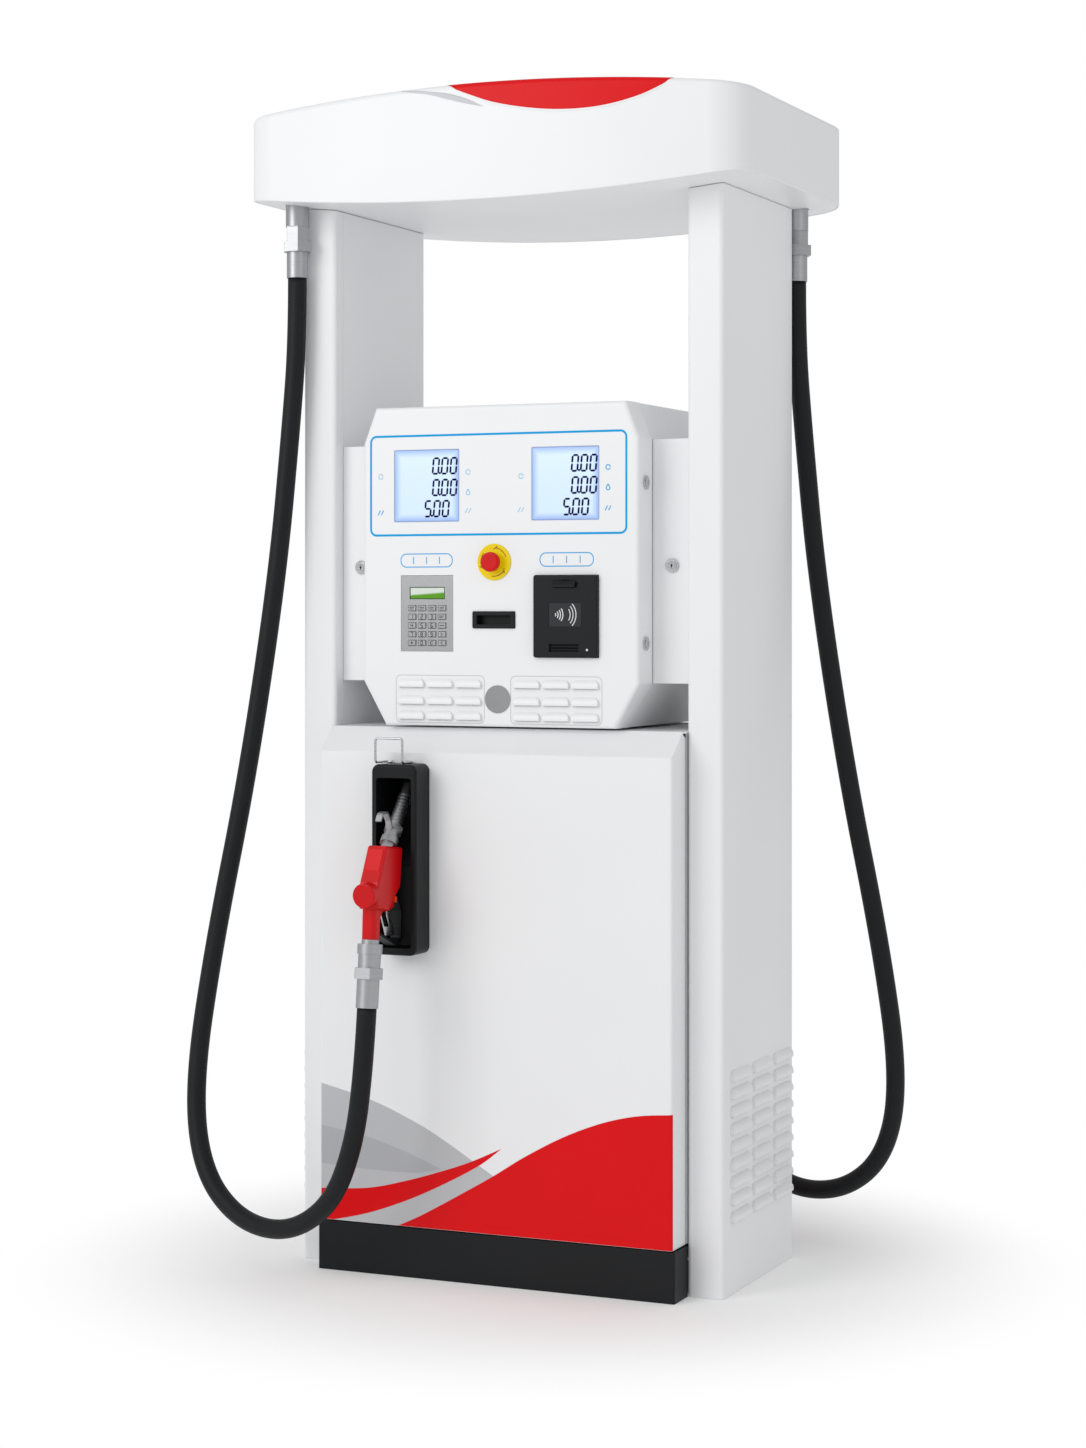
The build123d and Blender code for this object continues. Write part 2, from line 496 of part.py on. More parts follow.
def make_boot():
    """Moulded pocket that the nozzle hangs in, its tub behind the door's face."""
    face = -CABINET_FRONT_Y - BOOT_PROUD
    half, mouth = BOOT_WIDTH / 2, BOOT_MOUTH_WIDTH / 2
    body = rounded_block((BOOT_X - half, BOOT_X + half), (face, -CABINET_FRONT_Y - CLEARANCE),
                         (BOOT_BOTTOM_Z, BOOT_TOP_Z), BOOT_CORNER_R)
    body = fillet(body.faces().sort_by(Axis.Y)[0].edges(), BOOT_EDGE_R)
    low, high, wall = BOOT_MOUTH_BOTTOM_Z, BOOT_MOUTH_TOP_Z, BOOT_WALL
    # the tub's floor and back, as distance behind the door's face and height
    tub = [(-3.5, low), (9.5, low + 20), (9.5, low + 150), (49.5, low + 210), (49.5, high)]
    tub = [(depth - CABINET_FRONT_Y, z) for depth, z in tub]
    rim = face + 20
    skin = [(y + wall, z) for y, z in tub[1:-1]]
    shell = side_profile([
        (rim, low - wall), (tub[0][0] + wall, low - wall), *skin, (tub[-1][0] + wall, high + wall),
        (rim, high + wall),
    ], BOOT_X, 2 * (mouth + wall))
    cavity = side_profile([(face - THROUGH, low), *tub, (face - THROUGH, high)], BOOT_X, 2 * mouth)
    ends = [edge for edge in cavity.edges().filter_by(Axis.Y) if not low + 1 < edge.center().Z < high - 1]
    write_both("nozzle_boot", body + shell - fillet(ends, 2 * wall))


def make_bail():
    """Wire loop over the boot: a padlock through it holds the nozzle."""
    radius = BAIL_WIRE / 2
    left, right = BAIL_X - BAIL_WIDTH / 2, BAIL_X + BAIL_WIDTH / 2
    foot_z = BOOT_TOP_Z + radius + 0.4
    top_z = foot_z + BAIL_HEIGHT
    y_front = -CABINET_FRONT_Y - BAIL_REACH
    y_back = -CABINET_FRONT_Y - radius - 2.7
    loop = tube([
        (left + BAIL_FOOT, y_back, foot_z), (left, y_back, foot_z), (left, y_front, foot_z),
        (left, y_front, top_z), (right, y_front, top_z), (right, y_front, foot_z),
        (right, y_back, foot_z), (right - BAIL_FOOT, y_back, foot_z),
    ], radius, BAIL_BEND_R)
    write_both("wire_bail", loop)


# ---------------------------------------------------------------- nozzle, swivel and hose
def spout_plane():
    """Plane at the spout's foot, facing up the spout."""
    lean = radians(SPOUT_LEAN)
    return Plane(origin=(NOZZLE_X, *SPOUT_FOOT), x_dir=(1, 0, 0), z_dir=(0, sin(lean), cos(lean)))


def swivel_plane():
    """Plane at the swivel's top, facing down the swivel."""
    top, end = Vector(NOZZLE_X, *SWIVEL_TOP), Vector(NOZZLE_X, *SWIVEL_END)
    return Plane(origin=top, x_dir=(1, 0, 0), z_dir=end - top)


def across_nozzle(half_width, y_span, z_span):
    """Box that lies evenly on both sides of the nozzle's middle."""
    return block((NOZZLE_X - half_width, NOZZLE_X + half_width), y_span, z_span)


def lever_pin(radius, half_length):
    """The lever's pin, or with a larger radius its hole."""
    return rod((NOZZLE_X - half_length, *LEVER_PIVOT), (NOZZLE_X + half_length, *LEVER_PIVOT), radius)


def make_nozzle():
    """Cast body with its handle, fork and end cap."""
    body = side_profile(on_nozzle(BODY_OUTLINE), NOZZLE_X, NOZZLE_WIDTH)
    body = fillet(body.edges().filter_by(Axis.X), 4)
    body = chamfer(body.edges().group_by(Axis.X)[0] + body.edges().group_by(Axis.X)[-1], 3.5)
    neck_y, neck_z = SWIVEL_TOP
    handle = side_profile([
        *on_nozzle([(-83, -101), (-44, -111), (-54, -124)]),
        (neck_y + 14.5, neck_z + 1), (neck_y - 13.5, neck_z - 2),
    ], NOZZLE_X, HANDLE_WIDTH)
    handle = fillet([edge for edge in handle.edges() if edge.bounding_box().size.Z > 30], 9)
    cap_start, cap_end = on_nozzle([CAP_START, CAP_END])
    cap = rod((NOZZLE_X, *cap_start), (NOZZLE_X, *cap_end), CAP_R)
    cap = fillet(cap.edges().sort_by(Axis.Y)[0], 3)
    body = body + handle + cap

    spout, swivel = spout_plane(), swivel_plane()
    body -= extrude(spout.offset(-SPOUT_SPIGOT) * Circle(SPOUT_SPIGOT_R + RUNNING_CLEARANCE), 40)
    body -= extrude(spout * Circle(SPOUT_SEAT_R), 30)
    body -= extrude(swivel.offset(-SWIVEL_SPIGOT - 2) * Circle(SWIVEL_SPIGOT_R + RUNNING_CLEARANCE), 40)
    body -= extrude(swivel.offset(-0.2) * Circle(40), 40)

    pin_y, pin_z = LEVER_PIVOT
    slot = LEVER_WIDTH / 2 + CLEARANCE
    lever_space = (pin_z - 34, pin_z + 9)
    fork = side_profile(on_nozzle(FORK_OUTLINE), NOZZLE_X, LEVER_WIDTH + 10)
    fork -= across_nozzle(slot, (pin_y - 30, pin_y + 30), lever_space)
    body -= across_nozzle(slot, (pin_y - 18, pin_y + 20), lever_space)
    write_both("nozzle_body", body + fork + lever_pin(LEVER_PIN_R, LEVER_WIDTH / 2 + 5))


def make_spout():
    """Spout with its nut, grip ribs and the hook that hangs it in the boot."""
    plane = spout_plane()
    steps = [(SPOUT_SPIGOT, SPOUT_SPIGOT_R), (14, 17), (16, 15), (10, 17, "hex"), (6, 14.5)]
    spout = stack(plane.offset(-SPOUT_SPIGOT), steps)
    nut_top = sum(step[0] for step in steps) - SPOUT_SPIGOT
    spout += extrude(plane.offset(nut_top - 16) * Circle(SPOUT_R), SPOUT_LENGTH - nut_top + 16)
    for rib in range(SPOUT_RIBS):
        spout += extrude(plane.offset(nut_top + 6 + rib * SPOUT_RIB_PITCH) * Circle(SPOUT_R + SPOUT_RIB), 4)
    spout += bent_strip(on_nozzle(HOOK_OUTLINE), HOOK_WIDTH, HOOK_THICKNESS, HOOK_BEND_R)
    spout -= extrude(plane.offset(20) * Circle(SPOUT_R - SPOUT_WALL), SPOUT_LENGTH)
    write_both("nozzle_spout", spout)


def make_guard_and_lever():
    """Hand guard, and the lever that turns on the body's pin inside it."""
    guard = bent_strip(on_nozzle(GUARD_OUTLINE), GUARD_WIDTH, GUARD_THICKNESS, GUARD_BEND_R)
    write_both("nozzle_guard", guard - handle_zone())

    pin_y, pin_z = LEVER_PIVOT
    outline = [(-7, 5), (7, 5), (9, -20), (24, -60), (16, -63), (-5, -22)]
    lever = side_profile([(pin_y + y, pin_z + z) for y, z in outline], NOZZLE_X, LEVER_WIDTH)
    lever -= across_nozzle(LEVER_WIDTH / 2 - LEVER_WALL, (pin_y - 50, pin_y + 50), (pin_z - 45, pin_z + 9))
    write_both("nozzle_lever", lever - lever_pin(LEVER_PIN_R + RUNNING_CLEARANCE, LEVER_WIDTH))


def handle_zone():
    """Space that the handle and the swivel take, with a clearance."""
    neck_y, neck_z = SWIVEL_TOP
    return side_profile([
        *on_nozzle([(-118, -86), (-43, -111), (-53, -124)]),
        (neck_y + 15.5, neck_z - 3), (neck_y + 15, neck_z - 31), (neck_y - 44, neck_z - 31),
    ], NOZZLE_X, 2 * HANDLE_WIDTH)


def make_swivel():
    """Swivel between the nozzle's handle and the hose, with the hose's ferrule."""
    plane = swivel_plane()
    length = (Vector(*SWIVEL_TOP) - Vector(*SWIVEL_END)).length - HOSE_GAP
    ferrule = length - sum(step[0] for step in SWIVEL_STEPS)
    swivel = stack(plane, [*SWIVEL_STEPS, (ferrule, SWIVEL_FERRULE_R)])
    swivel += extrude(plane.offset(-SWIVEL_SPIGOT) * Circle(SWIVEL_SPIGOT_R), SWIVEL_SPIGOT + 2)
    swivel -= extrude(plane.offset(-2 * SWIVEL_SPIGOT) * Circle(SWIVEL_BORE_R), 2 * (SWIVEL_SPIGOT + length))
    write_both("hose_swivel", swivel)


def make_hose():
    """Hose, and the outlet under the canopy that it hangs from."""
    radii = arc_radii(HOSE_ROUTE)
    print("hose arc radii", [round(radius) for radius in radii])
    write_both("hose", tube(HOSE_ROUTE, HOSE_DIAMETER / 2, radii))

    down = Plane(origin=(OUTLET_X, OUTLET_Y, OUTLET_TOP_Z), z_dir=(0, 0, -1))
    length = OUTLET_TOP_Z - HOSE_START_Z - HOSE_GAP
    ferrule = length - sum(step[0] for step in OUTLET_STEPS)
    outlet = stack(down, [*OUTLET_STEPS, (ferrule, OUTLET_FERRULE_R)])
    write_both("hose_outlet", outlet - extrude(down * Circle(OUTLET_BORE_R), length - 5))


# ---------------------------------------------------------------- head
def head_outline(inset):
    """Eight-sided front of the head, an inset smaller."""
    low, high = HEAD_BOTTOM_Z + inset, HEAD_TOP_Z - inset
    side, foot, crown = HEAD_HALF_WIDTH - inset, HEAD_BOTTOM_HALF - inset * 0.6, HEAD_TOP_HALF - inset * 0.7
    right = [(foot, low), (side, HEAD_SHOULDER_LOW_Z), (side, HEAD_SHOULDER_HIGH_Z), (crown, high)]
    left = [(-x, z) for x, z in reversed(right)]
    return make_face(Polyline(*right, *left, close=True))


def head_prism(inset, y_near, y_far):
    """The head's outline, extruded from y_near to y_far."""
    plane = Plane(origin=(0, y_far, 0), x_dir=(1, 0, 0), z_dir=(0, -1, 0))
    return extrude(plane * head_outline(inset), y_far - y_near)


def plate_block(item, y_near, y_far, grow=0.0):
    """Box of a fitting on the head's door: item is centre x, centre z, width, height."""
    x, z, width, height = item
    return block((x - width / 2 - grow, x + width / 2 + grow), (y_near, y_far),
                 (z - height / 2 - grow, z + height / 2 + grow))


def make_head_door():
    front, back = -HEAD_FRONT_Y, -HEAD_FRONT_Y + HEAD_DOOR_DEPTH
    within = front + 2 * SHEET
    shell = head_prism(0, front, back)
    face = shell.faces().sort_by(Axis.Y)[0]
    shell = fillet(face.edges(), HEAD_EDGE_R)
    hollow = head_prism(SHEET, front + SHEET, back + THROUGH)
    shell -= fillet(hollow.faces().sort_by(Axis.Y)[0].edges(), HEAD_EDGE_R - SHEET)
    for x in DISPLAY_X:
        shell -= plate_block((x, DISPLAY_Z, DISPLAY_SIZE, DISPLAY_SIZE), front - THROUGH, within, CLEARANCE)
    for item in (KEYPAD, CARD_READER, RECEIPT):
        shell -= plate_block(item, front - THROUGH, within, CLEARANCE)
    shell -= rod((STOP_X, front - THROUGH, STOP_Z), (STOP_X, within, STOP_Z), STOP_SLEEVE_R + CLEARANCE)
    side = HEAD_HALF_WIDTH - 2 * SHEET
    for z in DOOR_LOCK_Z:
        shell -= rod((side, -DOOR_LOCK_Y, z), (2 * HEAD_HALF_WIDTH, -DOOR_LOCK_Y, z), LOCK_BARREL_R + CLEARANCE)
    for z in (HEAD_SHOULDER_LOW_Z + HINGE_INSET, HEAD_SHOULDER_HIGH_Z - HINGE_INSET - HINGE_LENGTH):
        shell += rod((HINGE_X, -HINGE_Y, z), (HINGE_X, -HINGE_Y, z + HINGE_LENGTH), HINGE_R)
    hood, slot = louvre(*HEAD_LOUVRE)
    for z in HEAD_LOUVRE_Z:
        for x in HEAD_LOUVRE_X:
            shell = shell - Pos(x, front, z) * slot + Pos(x, front, z) * hood
    write_both("head_door", shell)


def make_fittings():
    """Displays, keypad, readers and the stop button on the head's door."""
    front = -HEAD_FRONT_Y
    displays = [plate_block((x, DISPLAY_Z, DISPLAY_SIZE, DISPLAY_SIZE), front + 0.6, front + DISPLAY_DEPTH)
                for x in DISPLAY_X]
    write_both("displays", *displays)

    x, z, width, height = KEYPAD
    face, wall = front + 0.8, 5.0
    plate = plate_block(KEYPAD, face, front + KEYPAD_DEPTH)
    plate -= plate_block(KEYPAD_WINDOW, face - THROUGH, face + 1.0)
    hollow_top = KEY_BOTTOM_Z + KEY_ROWS * KEY_PITCH_Z - 4
    plate -= block((x - width / 2 + wall, x + width / 2 - wall), (front + 4, front + KEYPAD_DEPTH - 3),
                   (z - height / 2 + wall, hollow_top))
    keys = []
    for column in range(KEY_COLUMNS):
        for row in range(KEY_ROWS):
            key_x = x + (column - (KEY_COLUMNS - 1) / 2) * KEY_PITCH_X
            key_z = KEY_BOTTOM_Z + row * KEY_PITCH_Z
            key = (key_x, key_z, KEY_WIDTH, KEY_HEIGHT)
            plate -= plate_block(key, face - THROUGH, front + 6, 0.4)
            cap = plate_block(key, face - KEY_PROUD, front + 7)
            keys.append(chamfer(cap.faces().sort_by(Axis.Y)[0].edges(), 0.8))
    write_both("keypad_plate", plate)
    write_both("keypad_keys", *keys)

    reader = plate_block(CARD_READER, front - CARD_READER_PROUD, front + CARD_READER_DEPTH)
    reader = fillet(reader.edges().filter_by(Axis.Y), 4)
    reader = fillet(reader.faces().sort_by(Axis.Y)[0].edges(), 2)
    x, z, width, height = CARD_READER
    proud = front - CARD_READER_PROUD
    reader -= plate_block((x, z + 3, 67, 46), proud - THROUGH, proud + 1)
    slot_x, slot_z = x - 2, z - 60.5
    reader -= plate_block((slot_x, slot_z, 62, 16), proud - THROUGH, proud + 5)
    reader -= plate_block((slot_x, slot_z, 56, 2.6), proud, proud + 30)
    hood = side_profile([(proud, z + 70), (proud - 7, z + 60), (proud - 7, z + 56), (proud, z + 54)], x - 1, 47)
    write_both("card_reader", reader + hood)

    bezel = plate_block(RECEIPT, front - RECEIPT_PROUD, front + RECEIPT_DEPTH)
    bezel = fillet(bezel.edges().filter_by(Axis.Y), 3)
    bezel = fillet(bezel.faces().sort_by(Axis.Y)[0].edges(), 1.5)
    x, z = RECEIPT[:2]
    bezel -= plate_block((x + 1, z, *RECEIPT_MOUTH), front - RECEIPT_PROUD - THROUGH, front + 14)
    write_both("receipt_slot", bezel)

    here = Plane(origin=(STOP_X, front, STOP_Z), x_dir=(1, 0, 0), z_dir=(0, -1, 0))
    collar = extrude(here.offset(0.3) * Circle(STOP_COLLAR_R), 3)
    collar = chamfer(collar.edges().sort_by(Axis.Y)[0], 1)
    collar += extrude(here.offset(-28) * Circle(STOP_SLEEVE_R), 28 + STOP_SLEEVE)
    collar -= extrude(here.offset(-30) * Circle(STOP_STEM_R + RUNNING_CLEARANCE), 60)
    write_both("stop_collar", collar)
    head_face = STOP_SLEEVE + STOP_TRAVEL + CLEARANCE
    button = extrude(here.offset(head_face) * Circle(STOP_BUTTON_R), 11)
    button = fillet(button.edges().sort_by(Axis.Y)[0], 4)
    button += extrude(here.offset(-22) * Circle(STOP_STEM_R), head_face + 24)
    write_both("stop_button", button)


def make_locks():
    """Cam locks: two on each door's free side, one on each wing cover."""
    locks = []
    for z in DOOR_LOCK_Z:
        plane = Plane(origin=(HEAD_HALF_WIDTH, -DOOR_LOCK_Y, z), x_dir=(0, 1, 0), z_dir=(1, 0, 0))
        locks.append(cam_lock(plane))
    write_both("door_locks", *locks)
    wing_locks = []
    for x in (-WING_LOCK_X, WING_LOCK_X):
        plane = Plane(origin=(x, -wing_y(), WING_LOCK_Z), x_dir=(1, 0, 0), z_dir=(0, -1, 0))
        wing_locks += [cam_lock(plane), to_rear(cam_lock(plane))]
    write("wing_locks", *wing_locks)


def cam_lock(plane):
    """One lock: round bezel, keyway, barrel through the sheet."""
    lock = extrude(plane.offset(0.2) * Circle(LOCK_R), 3)
    lock += extrude(plane.offset(3) * Circle(LOCK_R - 4), 2)
    lock -= extrude(plane.offset(3) * Rectangle(2.2, 9), 4)
    return lock + extrude(plane.offset(-16) * Circle(LOCK_BARREL_R), 17)


def wing_y():
    """Distance of the wing covers' faces from the middle."""
    return HEAD_FRONT_Y - HEAD_DOOR_DEPTH - 2 * CLEARANCE


def make_head_body():
    """Fixed carcass between the two doors, and the wings that tie it to the columns."""
    half, inset = wing_y() - 2 * CLEARANCE, CLEARANCE
    carcass = head_prism(inset, -half, half) - head_prism(inset + SHEET, -half - THROUGH, half + THROUGH)
    carcass -= Pos(0, 0, HEAD_BOTTOM_Z) * Box(2 * DECK_HOLE, 2 * DECK_HOLE, 10 * SHEET)
    write("head_frame", carcass)

    near, far = HEAD_HALF_WIDTH + CLEARANCE, COLUMN_INNER_X - CLEARANCE
    cover = block((near, far), (-wing_y(), -CLEARANCE), (HEAD_SHOULDER_LOW_Z, HEAD_SHOULDER_HIGH_Z))
    cover -= block((near - THROUGH, far + THROUGH), (-wing_y() + SHEET, THROUGH),
                   (HEAD_SHOULDER_LOW_Z + SHEET, HEAD_SHOULDER_HIGH_Z - SHEET))
    cover -= Pos(WING_LOCK_X, -wing_y(), WING_LOCK_Z) * Rot(90, 0, 0) * Cylinder(
        LOCK_BARREL_R + CLEARANCE, 4 * SHEET)
    covers = [cover, mirror(cover, Plane.YZ)]
    write("wing_covers", *covers, *[to_rear(item) for item in covers])

    low = HEAD_SHOULDER_LOW_Z
    box = rounded_block((-150, 150), (-100, 100), (low, low + 265), 8, Axis.Z)
    printer = block((-70, 60), (-100, 100), (low + 270, low + 345))
    write("control_box", box, printer)


# ---------------------------------------------------------------- drive and hydraulics
def make_drive():
    """Finned motor and the pump, each with its pulley, and the belt between them."""
    y, z = MOTOR_AXIS
    x_end = MOTOR_X + MOTOR_LENGTH
    plane = Plane(origin=(MOTOR_X, y, z), x_dir=(0, 1, 0), z_dir=(1, 0, 0))
    motor = extrude(plane * Circle(MOTOR_R - MOTOR_FIN_DEPTH), MOTOR_LENGTH)
    for fin in range(MOTOR_FINS):
        motor += extrude(plane.offset(18 + fin * MOTOR_FIN_PITCH) * Circle(MOTOR_R), MOTOR_FIN)
    motor += block((MOTOR_X + 20, x_end - 20), (y - 60, y + 60), (FOOT_Z, z - MOTOR_R + 14))
    motor -= extrude(plane.offset(-THROUGH) * Circle(SHAFT_R + RUNNING_CLEARANCE), SHAFT_BORE + THROUGH)
    write("motor", motor)
    write("motor_pulley", make_pulley(y, z, MOTOR_PULLEY_R, MOTOR_X + SHAFT_BORE - 9))

    y, z = PUMP_AXIS
    low_x, depth, height = PUMP_X - PUMP_LENGTH, PUMP_HALF_DEPTH, PUMP_HALF_HEIGHT
    pump = rounded_block((low_x, PUMP_X), (y - depth, y + depth), (z - height, z + height), 12, Axis.X)
    for leg_x in (low_x + PUMP_LEG, PUMP_X - 2 * PUMP_LEG):
        pump += block((leg_x, leg_x + PUMP_LEG), (y - 60, y + 60), (FOOT_Z, z - height + 5))
    pump += block((low_x, PUMP_X), (y - depth, y + depth), (FOOT_Z, FOOT_Z + PUMP_BASE))
    suction_z = INLET_TOP_Z + CLEARANCE
    pump += rod((INLET_X, INLET_Y, suction_z), (INLET_X, INLET_Y, z), INLET_BORE_R + INLET_WALL)
    pump -= rod((INLET_X, INLET_Y, suction_z - THROUGH), (INLET_X, INLET_Y, z - 40), INLET_BORE_R)
    shaft = Plane(origin=(PUMP_X + THROUGH, y, z), x_dir=(0, 1, 0), z_dir=(-1, 0, 0))
    pump -= extrude(shaft * Circle(SHAFT_R + RUNNING_CLEARANCE), SHAFT_BORE + THROUGH)
    pump += Pos(low_x + SEPARATOR_INSET, y, z + height + SEPARATOR_HEIGHT / 2 - 5) * Cylinder(
        SEPARATOR_R, SEPARATOR_HEIGHT)
    write("pump", pump)
    write("pump_pulley", make_pulley(y, z, PUMP_PULLEY_R, PUMP_X - SHAFT_BORE + 9))
    make_belt()


def make_pulley(y, z, radius, shaft_end_x):
    """Grooved pulley with its own shaft."""
    near, far = PULLEY_X - PULLEY_WIDTH / 2, PULLEY_X + PULLEY_WIDTH / 2
    wheel = rod((near, y, z), (far, y, z), radius)
    side = BELT_WIDTH / 2 + CLEARANCE
    groove = rod((PULLEY_X - side, y, z), (PULLEY_X + side, y, z), radius + THROUGH)
    wheel -= groove - rod((near - THROUGH, y, z), (far + THROUGH, y, z), radius - BELT_THICKNESS)
    return wheel + rod((PULLEY_X, y, z), (shaft_end_x, y, z), SHAFT_R)


def make_belt():
    """Belt round both grooves, its straight runs tangent to both circles."""
    (motor_y, motor_z), (pump_y, pump_z) = MOTOR_AXIS, PUMP_AXIS
    inner = [radius - BELT_THICKNESS + BELT_GAP for radius in (MOTOR_PULLEY_R, PUMP_PULLEY_R)]
    distance = ((pump_y - motor_y) ** 2 + (pump_z - motor_z) ** 2) ** 0.5
    along = atan2(pump_z - motor_z, pump_y - motor_y)
    open_angle = atan2(inner[1] - inner[0], (distance ** 2 - (inner[1] - inner[0]) ** 2) ** 0.5)

    def loop(grow):
        hub = [Pos(motor_y, motor_z) * Circle(inner[0] + grow), Pos(pump_y, pump_z) * Circle(inner[1] + grow)]
        corners = []
        for turn in (1, -1):
            angle = along + turn * (radians(90) + open_angle)
            ends = [(y + (size + grow) * cos(angle), z + (size + grow) * sin(angle))
                    for y, z, size in ((motor_y, motor_z, inner[0]), (pump_y, pump_z, inner[1]))]
            corners.append(ends if turn == 1 else ends[::-1])
        runs = make_face(Polyline(*corners[0], *corners[1], close=True))
        return hub[0] + hub[1] + runs

    belt = extrude(side_plane(PULLEY_X) * (loop(BELT_THICKNESS) - loop(0)), BELT_WIDTH / 2, both=True)
    write("v_belt", belt)


def make_meter():
    """Piston meter: drum, register's neck and three cylinders."""
    meter = Pos(-METER_X, 0, METER_Z) * Cylinder(METER_R, METER_HEIGHT)
    meter += Pos(-METER_X, 0, METER_Z + (METER_HEIGHT + METER_NECK) / 2) * Cylinder(METER_NECK_R, METER_NECK)
    middle = Pos(-METER_X, 0, METER_Z - METER_CYLINDER_DROP)
    for angle in (90, 210, 330):
        meter += middle * Rot(0, 0, angle) * Rot(0, 90, 0) * Pos(0, 0, METER_R) * Cylinder(
            METER_CYLINDER_R, METER_CYLINDER)
    return meter


def make_valve():
    """Solenoid valve: block and coil."""
    valve = Pos(RISER_X, RISER_Y, VALVE_Z) * Box(VALVE_SIZE, VALVE_SIZE, VALVE_SIZE)
    coil = Pos(RISER_X - VALVE_SIZE * 0.9, RISER_Y, VALVE_Z) * Rot(0, 90, 0) * Cylinder(COIL_R, VALVE_SIZE)
    return valve + coil


def make_pipes(side):
    """Pipes of one lane: pump to meter, meter to valve, valve to the hose's outlet."""
    pump_top = PUMP_AXIS[1] + PUMP_HALF_HEIGHT + CLEARANCE
    feed_x, feed_y = (-160.0, FEED_Y) if side == 1 else (130.0, -FEED_Y)
    feed_z, meter_foot = pump_top + 40, METER_Z - METER_HEIGHT / 2 - CLEARANCE
    feed = tube([(feed_x, feed_y, pump_top), (feed_x, feed_y, feed_z), (-METER_X, feed_y, feed_z),
                 (-METER_X, feed_y, meter_foot)], PIPE_R, LINK_BEND_R, PIPE_BORE_R)
    meter_top = METER_Z + METER_HEIGHT / 2 + METER_NECK + CLEARANCE
    valve_foot, valve_top = (VALVE_Z + turn * (VALVE_SIZE / 2 + CLEARANCE) for turn in (-1, 1))
    link_z = (meter_top + valve_foot) / 2
    link = tube([(RISER_X, 0, meter_top), (RISER_X, 0, link_z), (RISER_X, RISER_Y, link_z),
                 (RISER_X, RISER_Y, valve_foot)], PIPE_R, LINK_BEND_R, PIPE_BORE_R)
    over_z = BEAM_Z + 20
    riser = tube([
        (RISER_X, RISER_Y, valve_top), (RISER_X, RISER_Y, RISER_CROSS_Z), (-POST_X, RISER_Y, RISER_CROSS_Z),
        (-POST_X, RISER_Y, over_z), (OUTLET_X, OUTLET_Y, over_z),
        (OUTLET_X, OUTLET_Y, OUTLET_TOP_Z + CLEARANCE),
    ], PIPE_R, PIPE_BEND_R, PIPE_BORE_R)
    return [feed, link, riser]


def make_inlet():
    """Flanged stub that brings fuel up from the tank to the pump."""
    stub = rod((INLET_X, INLET_Y, 0), (INLET_X, INLET_Y, INLET_FLANGE), INLET_FLANGE_R)
    stub += rod((INLET_X, INLET_Y, 0), (INLET_X, INLET_Y, INLET_TOP_Z), INLET_BORE_R + INLET_WALL)
    stub -= rod((INLET_X, INLET_Y, -THROUGH), (INLET_X, INLET_Y, INLET_TOP_Z + THROUGH), INLET_BORE_R)
    for x in (-INLET_BOLT, INLET_BOLT):
        for y in (-INLET_BOLT, INLET_BOLT):
            stub -= Pos(INLET_X + x, INLET_Y + y, 0) * Cylinder(INLET_BOLT_R, 4 * INLET_FLANGE)
    return stub


def make_hydraulics():
    """Two meters, two valves and the pipes between them."""
    write("flow_meters", make_meter(), to_rear(make_meter()))
    write("solenoid_valves", make_valve(), to_rear(make_valve()))
    write("pipework", *make_pipes(1), *[to_rear(pipe) for pipe in make_pipes(-1)], make_inlet())


make_frame()
make_brackets()
make_kick_plates()
make_columns()
make_canopy()
make_cabinet()
make_boot()
make_bail()
make_nozzle()
make_spout()
make_guard_and_lever()
make_swivel()
make_hose()
make_head_door()
make_fittings()
make_locks()
make_head_body()
make_drive()
make_hydraulics()
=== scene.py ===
"""Looks of a two-sided fuel dispenser: finishes, decals, displays, hoses and studio."""
import logging
import math
from collections.abc import Callable, Iterable, Sequence
from dataclasses import dataclass, field
from enum import Enum

import bpy
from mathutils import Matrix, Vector


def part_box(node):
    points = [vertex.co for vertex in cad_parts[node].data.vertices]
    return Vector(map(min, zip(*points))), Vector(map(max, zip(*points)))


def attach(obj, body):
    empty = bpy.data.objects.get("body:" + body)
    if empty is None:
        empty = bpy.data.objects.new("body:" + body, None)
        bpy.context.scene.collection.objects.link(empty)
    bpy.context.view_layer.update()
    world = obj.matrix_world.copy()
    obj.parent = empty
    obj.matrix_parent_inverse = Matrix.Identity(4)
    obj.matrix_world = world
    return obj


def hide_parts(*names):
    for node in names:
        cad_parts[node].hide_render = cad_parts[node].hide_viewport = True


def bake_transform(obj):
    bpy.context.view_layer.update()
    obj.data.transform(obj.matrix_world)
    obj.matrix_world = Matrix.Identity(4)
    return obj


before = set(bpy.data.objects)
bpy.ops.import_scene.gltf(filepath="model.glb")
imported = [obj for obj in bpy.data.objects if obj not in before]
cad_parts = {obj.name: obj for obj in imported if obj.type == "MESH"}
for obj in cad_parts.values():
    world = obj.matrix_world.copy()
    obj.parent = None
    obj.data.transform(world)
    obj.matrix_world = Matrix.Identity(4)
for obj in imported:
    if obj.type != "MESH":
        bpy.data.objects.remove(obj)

LOG = logging.getLogger("fuel_dispenser")
MM = 0.001
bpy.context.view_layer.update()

Point = tuple[float, float]
Curve = Sequence[Point]
Socket = bpy.types.NodeSocket


class Side(Enum):
    """Which lane a piece faces: the rear is the front turned half a turn about Z."""

    FRONT = "front"
    REAR = "rear"

    @property
    def sign(self) -> int:
        """Factor for x and y of a point drawn for the front."""
        return 1 if self is Side.FRONT else -1

    def node(self, name: str) -> str:
        """Name of this side's copy of a node or body."""
        return f"{name}_{self.value}"

    def place(self, point: Sequence[float]) -> Vector:
        """A point in millimetres drawn for the front, in metres on this side."""
        return Vector((self.sign * point[0], self.sign * point[1], point[2])) * MM


